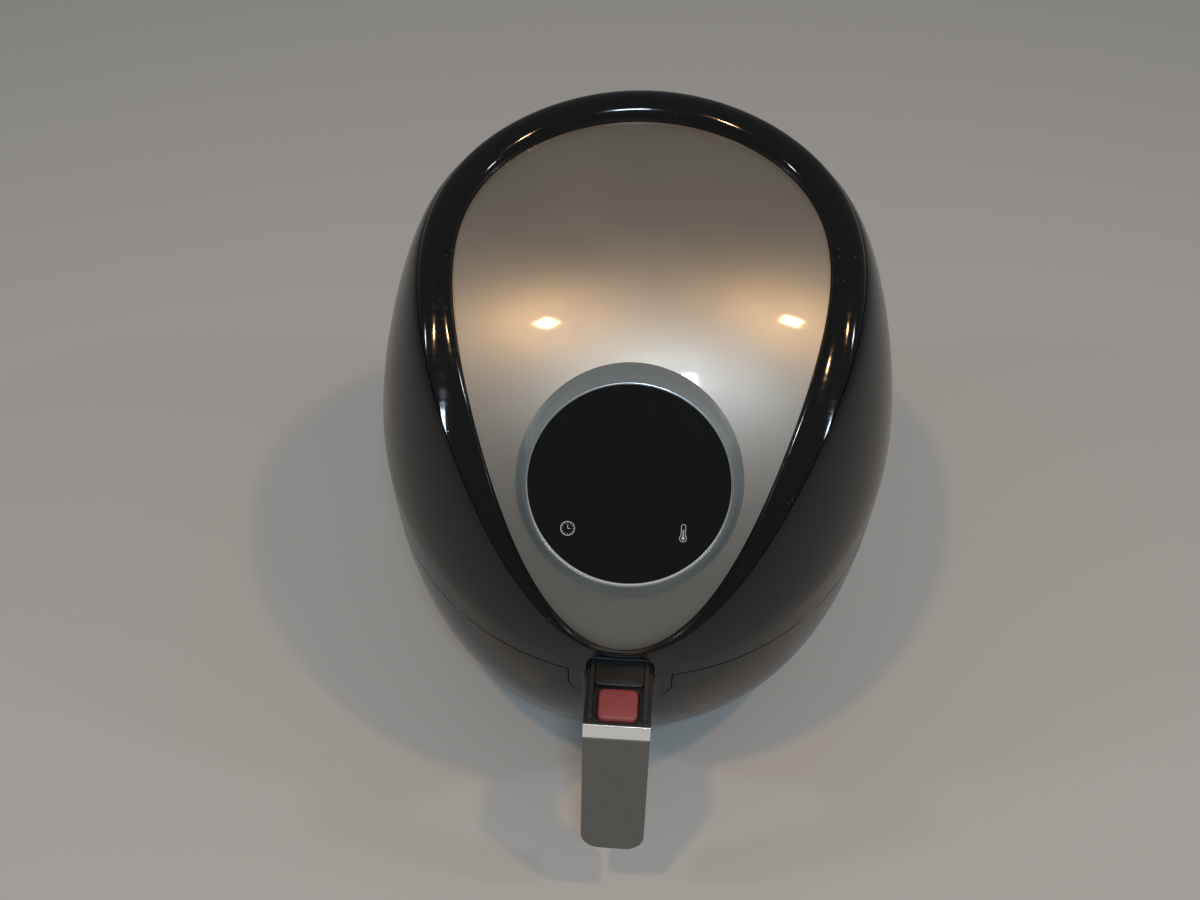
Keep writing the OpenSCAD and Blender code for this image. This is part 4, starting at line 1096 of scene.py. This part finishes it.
def rectangle(x, y, w, l):
    return [(x - w / 2, y - l / 2), (x + w / 2, y - l / 2), (x + w / 2, y + l / 2), (x - w / 2, y + l / 2)]


def thermometer(stem, bulb, top, bulb_y=-2.4 * MM):
    """A bulb below a round-topped stem, as an outline with the same points for any size."""
    side = math.degrees(math.acos(stem / bulb))
    return arc(0, bulb_y, bulb, side, -180 - side, 30) + arc(0, top - stem, stem, 180, 0, 12)


def symbol(name, parts, x, y):
    """Joins parts drawn about the origin, at a place on the glass."""
    for part in parts:
        moved(part, display_turn, display_at + display_turn @ Vector((x, y, 0)))
    join(name, parts, "housing", icon_white)


hand_w = 0.34 * MM
clock_parts = [band(circle(3.5 * MM), circle(3.15 * MM)),
               ring_of("ticks", patch(rectangle(0, 0, 0.6 * MM, 0.24 * MM)), 12, 2.7 * MM, icon_white)]
for w, l in ((hand_w, 2 * MM), (1.5 * MM, hand_w)):
    clock_parts.append(patch(rectangle((w - hand_w) / 2, (l - hand_w) / 2, w, l)))
symbol("clock_symbol", clock_parts, -27.8 * MM, -21.8 * MM)

glass_tube = band(thermometer(1.15 * MM, 1.8 * MM, 4.5 * MM), thermometer(0.85 * MM, 1.5 * MM, 4.2 * MM))
column = patch(thermometer(0.26 * MM, 0.8 * MM, 1.9 * MM))
symbol("thermometer_symbol", [glass_tube, column], 26.6 * MM, -21.2 * MM)

# %% [markdown]
# ## The handle
# The handle hooks over the drawer front: a short platform with the release button under its guard,
# then a bright bar at the corner, then a long grey face that leans out. The pieces are slabs drawn
# from the side or from the front. A slab with a bevel keeps the long faces truly flat, which a
# sculpted or subdivided block would not, and a flat face is what catches the light as one sheet.

# %% Handle values
handle_half = (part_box("handle_body")[1].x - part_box("handle_body")[0].x) / 2
handle_top_z = 142 * MM
handle_low_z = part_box("handle_cover")[0].z
front_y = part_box("handle_cover")[0].y
trim_top = (axis_y - 186.6 * MM, handle_top_z)
trim_low = (axis_y - 189.5 * MM, handle_top_z - 7.5 * MM)
toe = (front_y, handle_low_z)
cover_t = 3 * MM
cover_gap = 0.25 * MM
toe_r = 10 * MM
lean = math.atan2(trim_low[0] - toe[0], trim_low[1] - toe[1])
face_l = math.hypot(trim_low[0] - toe[0], trim_low[1] - toe[1])
print("handle half width", round(handle_half, 4), "face", round(face_l, 4),
      "lean", round(math.degrees(lean), 1))

# %% Handle face
# The face lies in a plane of its own: x across, y up along the lean, z out of the face.
face_turn = Matrix(((1, 0, 0), (0, math.sin(lean), -math.cos(lean)), (0, math.cos(lean), math.sin(lean))))
face_high = face_l - 0.35 * MM
face_outline = [(handle_half, face_high), (-handle_half, face_high)]
face_outline += arc(-handle_half + toe_r, toe_r, toe_r, 180, 270, 14)
face_outline += arc(handle_half - toe_r, toe_r, toe_r, 270, 360, 14)
face_slab = slab(face_outline, cover_gap - cover_t, 0, face_turn, (0, *toe))
cover = add_piece("handle_face", *face_slab, "drawer", handle_grey, ["handle_cover"])
soften(cover, 1.1 * MM, 4, 60)

# %% Corner trim
# A side view in (y, z), as wide as the handle.
side_turn = Matrix(((0, 0, 1), (1, 0, 0), (0, 1, 0)))
trim_outline = [trim_top, trim_low, (trim_low[0] + 3.4 * MM, trim_low[1] + 0.2 * MM),
                (trim_top[0] + 0.6 * MM, trim_top[1])]
trim_slab = slab(rounded(trim_outline, 0.25 * MM, 3), -handle_half, handle_half, side_turn)
trim = add_piece("handle_corner_trim", *trim_slab, "drawer", bright_plate, ["corner_trim"])
soften(trim, 0.2 * MM)

# %% [markdown]
# The body of the handle, the saddle and some parts behind them are solids whose shape is already
# right and only their edges are too sharp. A softened copy of the solid is the quickest way: the copy
# is merged, its flat faces are joined back together, and a bevel rounds what is left of its edges.

# %% Softened copies
flat_within = 0.6
solid_sharp = 35


def softened(name, solid, width, body, paint, angle=solid_sharp):
    form = bmesh.new()
    form.from_mesh(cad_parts[solid].data)
    bmesh.ops.remove_doubles(form, verts=form.verts, dist=1e-6)
    bmesh.ops.dissolve_limit(form, angle_limit=math.radians(flat_within), verts=form.verts, edges=form.edges)
    made = dress(object_of(form, name, solid_sharp), body, paint, [solid])
    soften(made, width, 2, angle)


softened("handle_grip", "handle_body", 0.5 * MM, "drawer", plain_black)
softened("handle_saddle_cheeks", "handle_saddle", 0.5 * MM, "drawer", plain_black, 50)

# %% [markdown]
# ## Button and guard
# The button is a soft-cornered pad with a slightly crowned top and a foot that presses the lever. It
# is lofted from rings of one rounded outline that shrinks towards the top. The guard that slides
# over it is a thin smoked plate with round corners.

# %% Release button
button_low, button_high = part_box("release_button")
button_w, button_l = button_high.x - button_low.x, button_high.y - button_low.y
button_mid = ((button_low.x + button_high.x) / 2, (button_low.y + button_high.y) / 2, 0)
pad_low = 139.6 * MM
foot_reach_y = axis_y - 169.1 * MM
foot_pin_r = 1.8 * MM
pad_corner = 3.4 * MM
pad_crown = 0.45 * MM
edge_round = 1.7 * MM
pad_rings = []
for z, inset in [(pad_low, 0.4 * MM), (pad_low + 0.4 * MM, 0)]:
    pad_rings.append((rounded_box(button_w - 2 * inset, button_l - 2 * inset, pad_corner), z))
for a in np.linspace(0, math.pi / 2, 9):
    inset = edge_round * (1 - math.cos(a))
    z = button_high.z - pad_crown - edge_round * (1 - math.sin(a))
    pad_rings.append((rounded_box(button_w - 2 * inset, button_l - 2 * inset, pad_corner - 0.6 * inset), z))
for u in np.arange(1, 9) / 8:
    w, l = ((size - 2 * edge_round) * (1 - u) + 0.2 * MM for size in (button_w, button_l))
    z = button_high.z - pad_crown * (1 - u) ** 2
    pad_rings.append((rounded_box(w, l, min(2.4 * MM, 0.45 * min(w, l))), z))
pad_points, pad_faces = loft(pad_rings)
pad = raw("pad", put(pad_points, level, button_mid), pad_faces)
foot_slab = slab(circle(foot_pin_r, 24), button_low.z, pad_low + 0.2 * MM, level, (0, foot_reach_y, 0))
foot = raw("foot", *foot_slab)
join("release_pad", [pad, foot], "button", button_red, ["release_button"])

# %% Guard
guard_low, guard_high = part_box("button_guard")
guard_outline = rounded_box(guard_high.x - guard_low.x, guard_high.y - guard_low.y, 2.2 * MM)
guard_slab = slab(guard_outline, guard_low.z, guard_high.z, level, (0, (guard_low.y + guard_high.y) / 2, 0))
guard = add_piece("sliding_guard", *guard_slab, "guard", guard_grey, ["button_guard"])
soften(guard, 0.45 * MM, 3)

# %% [markdown]
# ## The drawer front and the lower shell
# Below the seam the body is two mouldings: the drawer's front and the fixed shell behind it. Both
# follow the `lower` rule, and their columns are spread between two azimuths that depend on height, so
# that their side edges lie in one upright plane. The front has a notch for the saddle.

# %% Lower skins
split_y = 62 * MM
front_gap = 0.6 * MM
drawer_low_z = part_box("drawer_front")[0].z
drawer_high_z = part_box("drawer_front")[1].z
front_t = wall + 0.6 * MM
recess_z = 114 * MM
recess_knee_z = 126 * MM
saddle_w = 52 * MM
recess_low_w = 38 * MM
saddle_gap = 0.4 * MM
side_count, recess_count = 48, 16
front_levels = np.concatenate([
    np.linspace(drawer_low_z, recess_z, 32), np.linspace(recess_z, recess_knee_z, 7)[1:],
    np.linspace(recess_knee_z, drawer_high_z, 7)[1:]])


def recess_half(z):
    """Half angle of the notch for the saddle, which narrows below its knee."""
    share = np.maximum(0, recess_knee_z - np.maximum(z, recess_z)) / (recess_knee_z - recess_z)
    return np.arcsin(2 * (saddle_w / 2 - (saddle_w - recess_low_w) / 2 * share + saddle_gap) / body_w)


def split_angle(z, depth, d):
    """The azimuth at which the body, at each height, is the given depth in front of its axis."""
    t = np.full_like(z, math.radians(115))
    for _ in range(8):
        t = np.arccos(np.clip(-depth * np.cos(t) / lower(t, z, d)[..., 1], -1, 1))
    return t


def drawer_grid(d):
    z = front_levels[:, None]
    a = split_angle(z, split_y + front_gap, d)
    half = recess_half(z)
    left = a + (math.pi - half - a) * np.linspace(0, 1, side_count + 1)[None, :]
    across = math.pi - half + 2 * half * np.linspace(0, 1, recess_count + 1)[None, 1:-1]
    t = np.concatenate([left, across, 2 * math.pi - left[:, ::-1]], 1)
    return lower(t, z + 0 * t, d)


front_cells = np.full((len(front_levels) - 1, 2 * side_count + recess_count), WHOLE)
front_cells[front_levels[:-1] >= recess_z - 1e-6, side_count:side_count + recess_count] = OPEN
drawer_shell = skin("drawer_shell", drawer_grid(0), drawer_grid(front_t), "drawer", shell_black,
                    ["drawer_front"], front_cells, ring=False)
soften(drawer_shell, shell_edge)

rear_levels = np.linspace(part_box("lower_housing")[0].z, seam_z, 40)
rear_shares = np.linspace(-1, 1, 111)[None, :]


def rear_grid(d):
    z = rear_levels[:, None]
    t = split_angle(z, split_y, d) * rear_shares
    return lower(t, z + 0 * t, d)


rear_shell = skin("rear_shell", rear_grid(0), rear_grid(wall), "housing", shell_black, ["lower_housing"],
                  ring=False)
soften(rear_shell, shell_edge)

# %% [markdown]
# ## The handle's pocket
# Where the handle passes under the upper shell there is a small black tunnel with the same bevelled
# top corners as the window in front of it. It is one band bent over three sides, with a back wall.

# %% Pocket
pocket_low, pocket_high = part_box("handle_pocket")
pocket_cut = 3.2 * MM


def tunnel(half, roof, cut):
    return [(-half, pocket_low.z), (-half, roof - cut), (cut - half, roof), (half - cut, roof),
            (half, roof - cut), (half, pocket_low.z)]


outer_line = tunnel(pocket_high.x, pocket_high.z, pocket_cut + 0.6 * MM)
inner_line = tunnel(pocket_half_w, pocket_high.z - pocket_wall, pocket_cut)
layers = [(outer_line, pocket_high.y), (outer_line, pocket_low.y), (inner_line, pocket_low.y),
          (inner_line, pocket_high.y - pocket_wall)]
pocket_points = [(x, y, z) for line, y in layers for x, z in line]
n = len(outer_line)
pocket_faces = [(a + k, a + k + 1, a + n + k + 1, a + n + k) for a in (0, n, 2 * n) for k in range(n - 1)]
pocket_faces += [tuple(range(n)), tuple(range(3 * n, 4 * n)),
                 (n, 2 * n, 3 * n, 4 * n - 1, 3 * n - 1, 2 * n - 1, n - 1, 0)]
pocket = add_piece("handle_tunnel", pocket_points, pocket_faces, "housing", plain_black, ["handle_pocket"])
soften(pocket, 0.4 * MM, 3, 30)

# %% [markdown]
# ## The exhaust grille
# Hot air leaves at the back through a row of slats that follow the shell. Each slat is a path found
# with the shell's rule, and one tree sweeps a rounded section along all the paths at once. The lean
# of the shell is stored on every point, so that each slat lies in the shell's surface. A Boolean
# through the shell would give flat sharp bars instead.

# %% The sweep tree
sweep_tree = Tree("sweep_along_paths", "Height Float, Thickness Float, Sides Int")
given = sweep_tree.given
paths = sweep_tree("GeometryNodeMeshToCurve", {"Mesh": given["Geometry"]})
upright = sweep_tree("GeometryNodeSetCurveNormal", {"Curve": paths}, mode="Z_UP")
lean_read = sweep_tree("GeometryNodeInputNamedAttribute", {"Name": "lean"}, data_type="FLOAT")
leaned = sweep_tree("GeometryNodeSetCurveTilt", {"Curve": upright, "Tilt": lean_read})
oval = sweep_tree("GeometryNodeCurvePrimitiveCircle", {"Resolution": given["Sides"], "Radius": 0.5})
oval_size = sweep_tree("ShaderNodeCombineXYZ", {"X": given["Thickness"], "Y": given["Height"], "Z": 1.0})
oval_fit = sweep_tree("GeometryNodeTransform", {"Geometry": oval, "Scale": oval_size})
sweep_tree.end(sweep_tree("GeometryNodeCurveToMesh", {
    "Curve": leaned, "Profile Curve": oval_fit, "Fill Caps": True}))


def swept(name, lines, height, thickness, sides, paint, leans=None, closed=False):
    """Sweeps an oval section along lines of points. Each line may have a lean, in radians from upright."""
    points, edges = [], []
    for line in lines:
        start = len(points)
        points += [tuple(p) for p in line]
        edges += [(start + k, start + k + 1) for k in range(len(line) - 1)]
        if closed:
            edges.append((len(points) - 1, start))
    mesh = bpy.data.meshes.new("paths")
    mesh.from_pydata(points, edges, [])
    leans = leans or [0.0] * len(lines)
    stored = mesh.attributes.new("lean", "FLOAT", "POINT")
    stored.data.foreach_set("value", [lean_of for line, lean_of in zip(lines, leans) for _ in line])
    sizes = {"Height": height, "Thickness": thickness, "Sides": sides}
    return grown(name, sweep_tree, show("paths", mesh), paint, sizes)


# %% Grille
slat_count = 8
slat_share = 0.55
slat_span = grille_half - math.radians(0.4)
slat_margin, post_margin, tilt_step = 0.02, 0.01, 0.02
slat_phis = np.linspace(grille_low + slat_margin, grille_high - slat_margin, slat_count)
slat_turns = np.linspace(-slat_span, slat_span, 41)
post_phis = np.linspace(grille_low + post_margin, grille_high - post_margin, 13)
mid = len(slat_turns) // 2


def shell_line(turns, phis, depth):
    return upper(turns + 0 * phis, phis + 0 * turns, depth * wall) + (0, axis_y, 0)


slat_lines = [shell_line(slat_turns, phi, 0.5) for phi in slat_phis]
slat_leans = []
for phi in slat_phis:
    above, below = (shell_line(slat_turns, phi + off, 0.5)[mid] for off in (tilt_step, -tilt_step))
    slat_leans.append(math.atan2(below[1] - above[1], above[2] - below[2]))
slat_tall = slat_share * float(np.linalg.norm(slat_lines[1][mid] - slat_lines[0][mid]))
slats = swept("slats", slat_lines, slat_tall, 2.1 * MM, 16, plain_black, slat_leans)
post_lines = [shell_line(turn, post_phis, 0.55) for turn in np.linspace(-slat_span, slat_span, 5)]
posts = swept("posts", post_lines, 2.4 * MM, 1.9 * MM, 12, plain_black)
join("exhaust_slats", [slats, posts], "housing", plain_black, ["rear_grille"])
print("slat", round(slat_tall, 4), "leans", np.round(np.degrees(slat_leans), 1))

# %% [markdown]
# ## The button's spring
# A small coil spring lifts the button again. It is round wire on a helix, so the sweep tree draws it
# from a path. A rigid spring would stand through the pressed button, and this one is drawn rigid,
# at its rest length.

# %% Spring
spring_low, spring_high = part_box("button_spring")
spring_wire = 0.7 * MM
spring_turns, steps_per_turn = 4, 24
spring_tall = spring_high.z - spring_low.z
spring_r = (spring_high.x - spring_low.x - spring_wire) / 2
spring_mid = (spring_low + spring_high) / 2
u = np.linspace(0, 1, steps_per_turn * spring_turns + 1)
a = 2 * math.pi * spring_turns * u
spring_path = np.stack([
    spring_mid.x + spring_r * np.cos(a), spring_mid.y + spring_r * np.sin(a),
    spring_low.z + spring_wire / 2 + (spring_tall - spring_wire) * u], -1)
coil = swept("coil", [spring_path], spring_wire, spring_wire, 12, screw_steel)
coil = join("press_spring", [coil], "drawer", screw_steel, ["button_spring"])
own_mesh(coil)

# %% [markdown]
# ## The wire guard and the feet
# The guard under the heating coil is spot-welded wire: rings, with eight wires laid across them. The
# same sweep tree draws the rings, and the ring tree lays out the wires. The rubber feet are lathed
# once and set down at four points.

# %% Guard wires
wire_d = 2 * MM
mouth_r = 91 * MM
wire_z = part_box("coil_guard")[0].z + wire_d / 2
guard_radii = [22 * MM, 40 * MM, 58 * MM, 76 * MM, mouth_r - 1.1 * MM]
spoke_count = 8
ring_lines = [[(r * math.cos(a), r * math.sin(a), wire_z) for a in ring_angles(96)] for r in guard_radii]
rings = swept("rings", ring_lines, wire_d, wire_d, 14, plated, closed=True)
spoke_line = [(x, 0, wire_z + 0.7 * wire_d) for x in np.linspace(21 * MM, mouth_r - 0.5 * MM, 5)]
spoke = swept("wire", [spoke_line], wire_d, wire_d, 14, plated)
spokes = ring_of("wires", spoke, spoke_count, 0.0, plated, math.pi / spoke_count)
wires = [moved(part, level, on_axis) for part in (rings, spokes)]
join("wire_guard", wires, "housing", plated, ["coil_guard"])

# %% Copies at points
def bent(line, bends):
    return rounded(line, [bend * MM for bend in bends])


spot_tree = Tree("copies_at_points", "Stamp Object")
spot_tree.end(spot_tree.stamped(spot_tree.given["Geometry"], spot_tree.given["Stamp"]))

foot_r = 10 * MM
foot_h = 6 * MM
plug_r, plug_h = 3.8 * MM, 3 * MM
foot_line = [(0, 0), (foot_r - 0.5 * MM, 0), (foot_r, foot_h - 0.4 * MM), (plug_r, foot_h - 0.05 * MM),
             (plug_r, foot_h + plug_h), (0, foot_h + plug_h)]
foot_stamp = raw("foot_stamp", *turned(bent(foot_line, [0, 1.2, 0.5, 0.2, 0.3, 0]), 64))
foot_x, foot_y = (edge - foot_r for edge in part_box("rubber_feet")[1].xy)
foot_spots = [(x * foot_x, y * (foot_y - axis_y) + axis_y, 0) for x in (-1, 1) for y in (-1, 1)]
feet = grown("feet", spot_tree, raw("spots", foot_spots, []), rubber_black, {"Stamp": foot_stamp})
join("soft_feet", [feet], "housing", rubber_black, ["rubber_feet"])

# %% [markdown]
# ## Pan and basket
# The pan is deep-drawn sheet with a turned-out flange, so it is lathed with rounded corners. The
# basket is punched: its wall has a row of upright slots, and its floor has rings of round holes. One
# tree lays a slotted cell in a row and bends the row round the axis. Another lays circles ring by
# ring and fills the sheet between them. Plain lathed rings complete the pot, and the borders are
# welded. Booleans would leave ragged faces round each of the eighty-five holes.

# %% The slotted-wall tree
wall_tree = Tree("slotted_wall", "Columns Int, Cell Object, Low Radius Float, High Radius Float, "
                                 "Low Z Float, High Z Float")
given = wall_tree.given
cell_at = wall_tree("ShaderNodeCombineXYZ", {"X": wall_tree("GeometryNodeInputIndex")})
cell_dots = wall_tree("GeometryNodePoints", {"Count": given["Columns"], "Position": cell_at})
laid_out = wall_tree.stamped(cell_dots, given["Cell"])
row_of_cells = wall_tree("GeometryNodeRealizeInstances", {"Geometry": laid_out})
flat_at = add_node(wall_tree.group, "ShaderNodeSeparateXYZ", {0: wall_tree("GeometryNodeInputPosition")})
flat_x, flat_y, flat_z = (Wire(socket) for socket in flat_at.outputs)


def climb(low, high):
    return (given[high] - given[low]) * flat_y + given[low]


bent_at = wall_tree.circling(climb("Low Radius", "High Radius") + flat_z, flat_x / given["Columns"] * tau,
                             climb("Low Z", "High Z"))
wall_tree.end(wall_tree("GeometryNodeSetPosition", {"Geometry": row_of_cells, "Position": bent_at}))

# %% The punched-floor tree
floor_tree = Tree("punched_floor", "Holes Int, Pitch Float, Hole Radius Float, Floor Radius Float, "
                                   "Sides Int, Thickness Float")
given = floor_tree.given
# Hole number n lies on ring floor((3 + sqrt(12 n - 3)) / 6), because ring k holds 6 k holes.
number = floor_tree("GeometryNodeInputIndex")
root = (number * 12.0 - 3.0).then("MAXIMUM").then("SQRT")
ring_number = ((root + 3.001) / 6.0).then("FLOOR")
first_on_ring = ring_number * (ring_number - 1.0) * 3.0 + 1.0
hole_turn = (number - first_on_ring) / ring_number * (tau / 6)
hole_at = floor_tree.circling(ring_number * given["Pitch"], hole_turn)
hole_dots = floor_tree("GeometryNodePoints", {"Count": given["Holes"], "Position": hole_at})
hole_edge = floor_tree("GeometryNodeCurvePrimitiveCircle", {"Resolution": 20, "Radius": given["Hole Radius"]})
hole_copies = floor_tree("GeometryNodeInstanceOnPoints", {"Points": hole_dots, "Instance": hole_edge})
hole_edges = floor_tree("GeometryNodeRealizeInstances", {"Geometry": hole_copies})
floor_edge = floor_tree("GeometryNodeCurvePrimitiveCircle", {
    "Resolution": given["Sides"], "Radius": given["Floor Radius"]})
sheet = floor_tree("GeometryNodeFillCurve", {"Curve": floor_tree.joined(floor_edge, hole_edges)})
raised = add_node(floor_tree.group, "GeometryNodeExtrudeMesh", {
    "Mesh": sheet, "Offset Scale": given["Thickness"], "Individual": False}).outputs
# The outer edge stays open, because the pot's corner is welded to it.
here = floor_tree("GeometryNodeInputPosition")
from_axis = floor_tree("ShaderNodeVectorMath", {0: here}, "Value", operation="LENGTH")
at_edge = from_axis.then("GREATER_THAN", given["Floor Radius"] * 0.999) * Wire(raised["Side"])
opened = floor_tree("GeometryNodeDeleteGeometry", {"Geometry": Wire(raised["Mesh"]), "Selection": at_edge},
                    domain="FACE")
floor_tree.end(floor_tree.joined(opened, floor_tree("GeometryNodeFlipFaces", {"Mesh": sheet})))

# %% Pan
pan_r, pan_t, pan_z, pan_top_z = 102 * MM, 1.6 * MM, 27 * MM, 128 * MM
pan_foot_r = pan_r - 8 * MM
flange_r = pan_r + 3 * MM
pan_line = [(0, pan_z), (pan_foot_r - 5 * MM, pan_z), (pan_foot_r, pan_z + 5 * MM), (pan_r, pan_top_z),
            (flange_r, pan_top_z), (flange_r, pan_top_z + pan_t), (pan_r - pan_t, pan_top_z + pan_t),
            (pan_foot_r - pan_t, pan_z + 5.5 * MM), (pan_foot_r - pan_t - 4 * MM, pan_z + pan_t),
            (0, pan_z + pan_t)]
pan_bends = [0, 4, 4, 0.4, 0.7, 0.7, 1.8, 4, 4, 0]
lathe("drawer_pan", bent(pan_line, pan_bends), "drawer", coated, ["outer_pan"])

# %% Basket
basket_t = 1.2 * MM
basket_r, basket_foot_r = 95 * MM, 88 * MM
basket_z, basket_rim_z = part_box("fry_basket")[0].z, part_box("fry_basket")[1].z - basket_t
slot_count, slot_w, slot_l = 24, 6 * MM, 50 * MM
band_low, band_high = basket_z + 8 * MM, basket_z + 70 * MM
bend_z = basket_z + 4 * MM
punched_r = 74 * MM
cell_sides = 32
hole_count, hole_pitch, punch_r = 61, 16.5 * MM, 3 * MM
weld_within = 0.02 * MM
pot_sides = slot_count * cell_sides // 4


def wall_r(z):
    return basket_foot_r + (basket_r - basket_foot_r) * (z - bend_z) / (basket_rim_z - bend_z)


def square_edge(share):
    """The point at a share of a unit square's edge, counted from the middle of its right side."""
    q = (4 * share + 0.5) % 4
    along = q % 1
    return ((1, along), (1 - along, 1), (0, 1 - along), (along, 0))[int(q)]


def slotted_cell():
    """A unit cell of sheet, one slot's share of the wall wide, with a round-ended slot in it."""
    cell_w = 2 * math.pi * wall_r(basket_z + 39 * MM) / slot_count
    cell_l = band_high - band_low
    straight = (slot_l - slot_w) / 2
    border, edge = [], []
    for k in range(cell_sides):
        a = 2 * math.pi * k / cell_sides
        border.append(square_edge(k / cell_sides))
        shift = straight * max(-1, min(1, 2 * math.sin(a)))
        edge.append((0.5 + slot_w / 2 * math.cos(a) / cell_w,
                     0.5 + (slot_w / 2 * math.sin(a) + shift) / cell_l))
    rings = ((border, -basket_t), (border, 0.0), (edge, 0.0), (edge, -basket_t))
    points = [(x, y, z) for ring, z in rings for x, y in ring]
    n = cell_sides
    faces = [(i * n + k, i * n + (k + 1) % n, j * n + (k + 1) % n, j * n + k)
             for i, j in ((1, 2), (2, 3), (3, 0)) for k in range(n)]
    return raw("cell", points, faces)


def open_ring(line, bends):
    return raw("ring", *turned(bent(line, bends), pot_sides, False))


slotted = grown("slotted_wall", wall_tree, dot(), coated, {
    "Columns": slot_count, "Cell": slotted_cell(), "Low Radius": wall_r(band_low),
    "High Radius": wall_r(band_high), "Low Z": band_low, "High Z": band_high})
punched = grown("punched_floor", floor_tree, dot(), coated, {
    "Holes": hole_count, "Pitch": hole_pitch, "Hole Radius": punch_r, "Floor Radius": punched_r,
    "Sides": pot_sides, "Thickness": basket_t})
moved(punched, level, (0, 0, basket_z))
rim_r, rim_z = flange_r - 0.5 * MM, basket_rim_z + basket_t
rim_ring = open_ring([
    (wall_r(band_high), band_high), (basket_r, basket_rim_z), (rim_r, basket_rim_z), (rim_r, rim_z),
    (basket_r - basket_t, rim_z), (wall_r(band_high) - basket_t, band_high)], [0, 0.4, 0.5, 0.5, 1.4, 0])
inner_ring = open_ring([
    (wall_r(band_low) - basket_t, band_low), (basket_foot_r - basket_t, basket_z + 4.4 * MM),
    (basket_foot_r - basket_t - 3.4 * MM, basket_z + basket_t), (punched_r, basket_z + basket_t)],
    [0, 3, 3, 0])
outer_ring = open_ring([
    (punched_r, basket_z), (basket_foot_r - 4 * MM, basket_z), (basket_foot_r, bend_z),
    (wall_r(band_low), band_low)], [0, 3, 3, 0])
pot = [moved(part, level, on_axis) for part in (slotted, punched, rim_ring, inner_ring, outer_ring)]
join("punched_basket", pot, "drawer", coated, ["fry_basket"], weld_within)

# %% [markdown]
# ## Softened working parts
# Moulded and pressed parts behind the front show when the drawer is out or the appliance is turned
# over. They keep their exact shape, and only their sharp edges are broken.

# %% Softened working parts
for name, solid, width, body, paint in (
        ("screws_under_base", "base_screws", 0.2, "housing", screw_steel),
        ("tray_of_base", "base_tray", 0.5, "housing", plain_black),
        ("gland_of_cord", "cord_gland", 0.5, "housing", plain_black),
        ("frame_behind_front", "front_frame", 0.3, "housing", plain_black),
        ("frame_in_drawer", "drawer_frame", 0.4, "drawer", plain_black),
        ("strap_over_basket", "basket_bracket", 0.25, "drawer", plated)):
    softened(name, solid, width * MM, body, paint)

# %% [markdown]
# ## Carried-over solids
# The rest keeps its shape. Every solid gets the finish of its own kind, so that nothing plain shows
# when the drawer is out or the part is seen from below.

# %% Finishes for the carried-over solids
kinds = {
    plain_black: ["display_holder", "drawer_switch", "cooling_fan"],
    plated: ["chamber_liner", "chamber_floor", "drawer_runners", "chamber_top", "heat_dome", "exhaust_duct",
             "motor_bracket", "board_bracket", "release_latch"],
    sheath: ["heating_coil"],
    cast_metal: ["hot_fan"],
    bush_bronze: ["shaft_bushes"],
    motor_grey: ["motor"],
    board_green: ["control_board", "power_board"],
    screw_steel: ["handle_screws", "latch_pin", "fan_shaft", "thermal_cutout", "air_sensor"],
}
for coat_of, solids in kinds.items():
    for solid in solids:
        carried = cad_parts[solid].data
        carried.materials.clear()
        carried.materials.append(coat_of)
print("carried over:", sum(len(v) for v in kinds.values()))
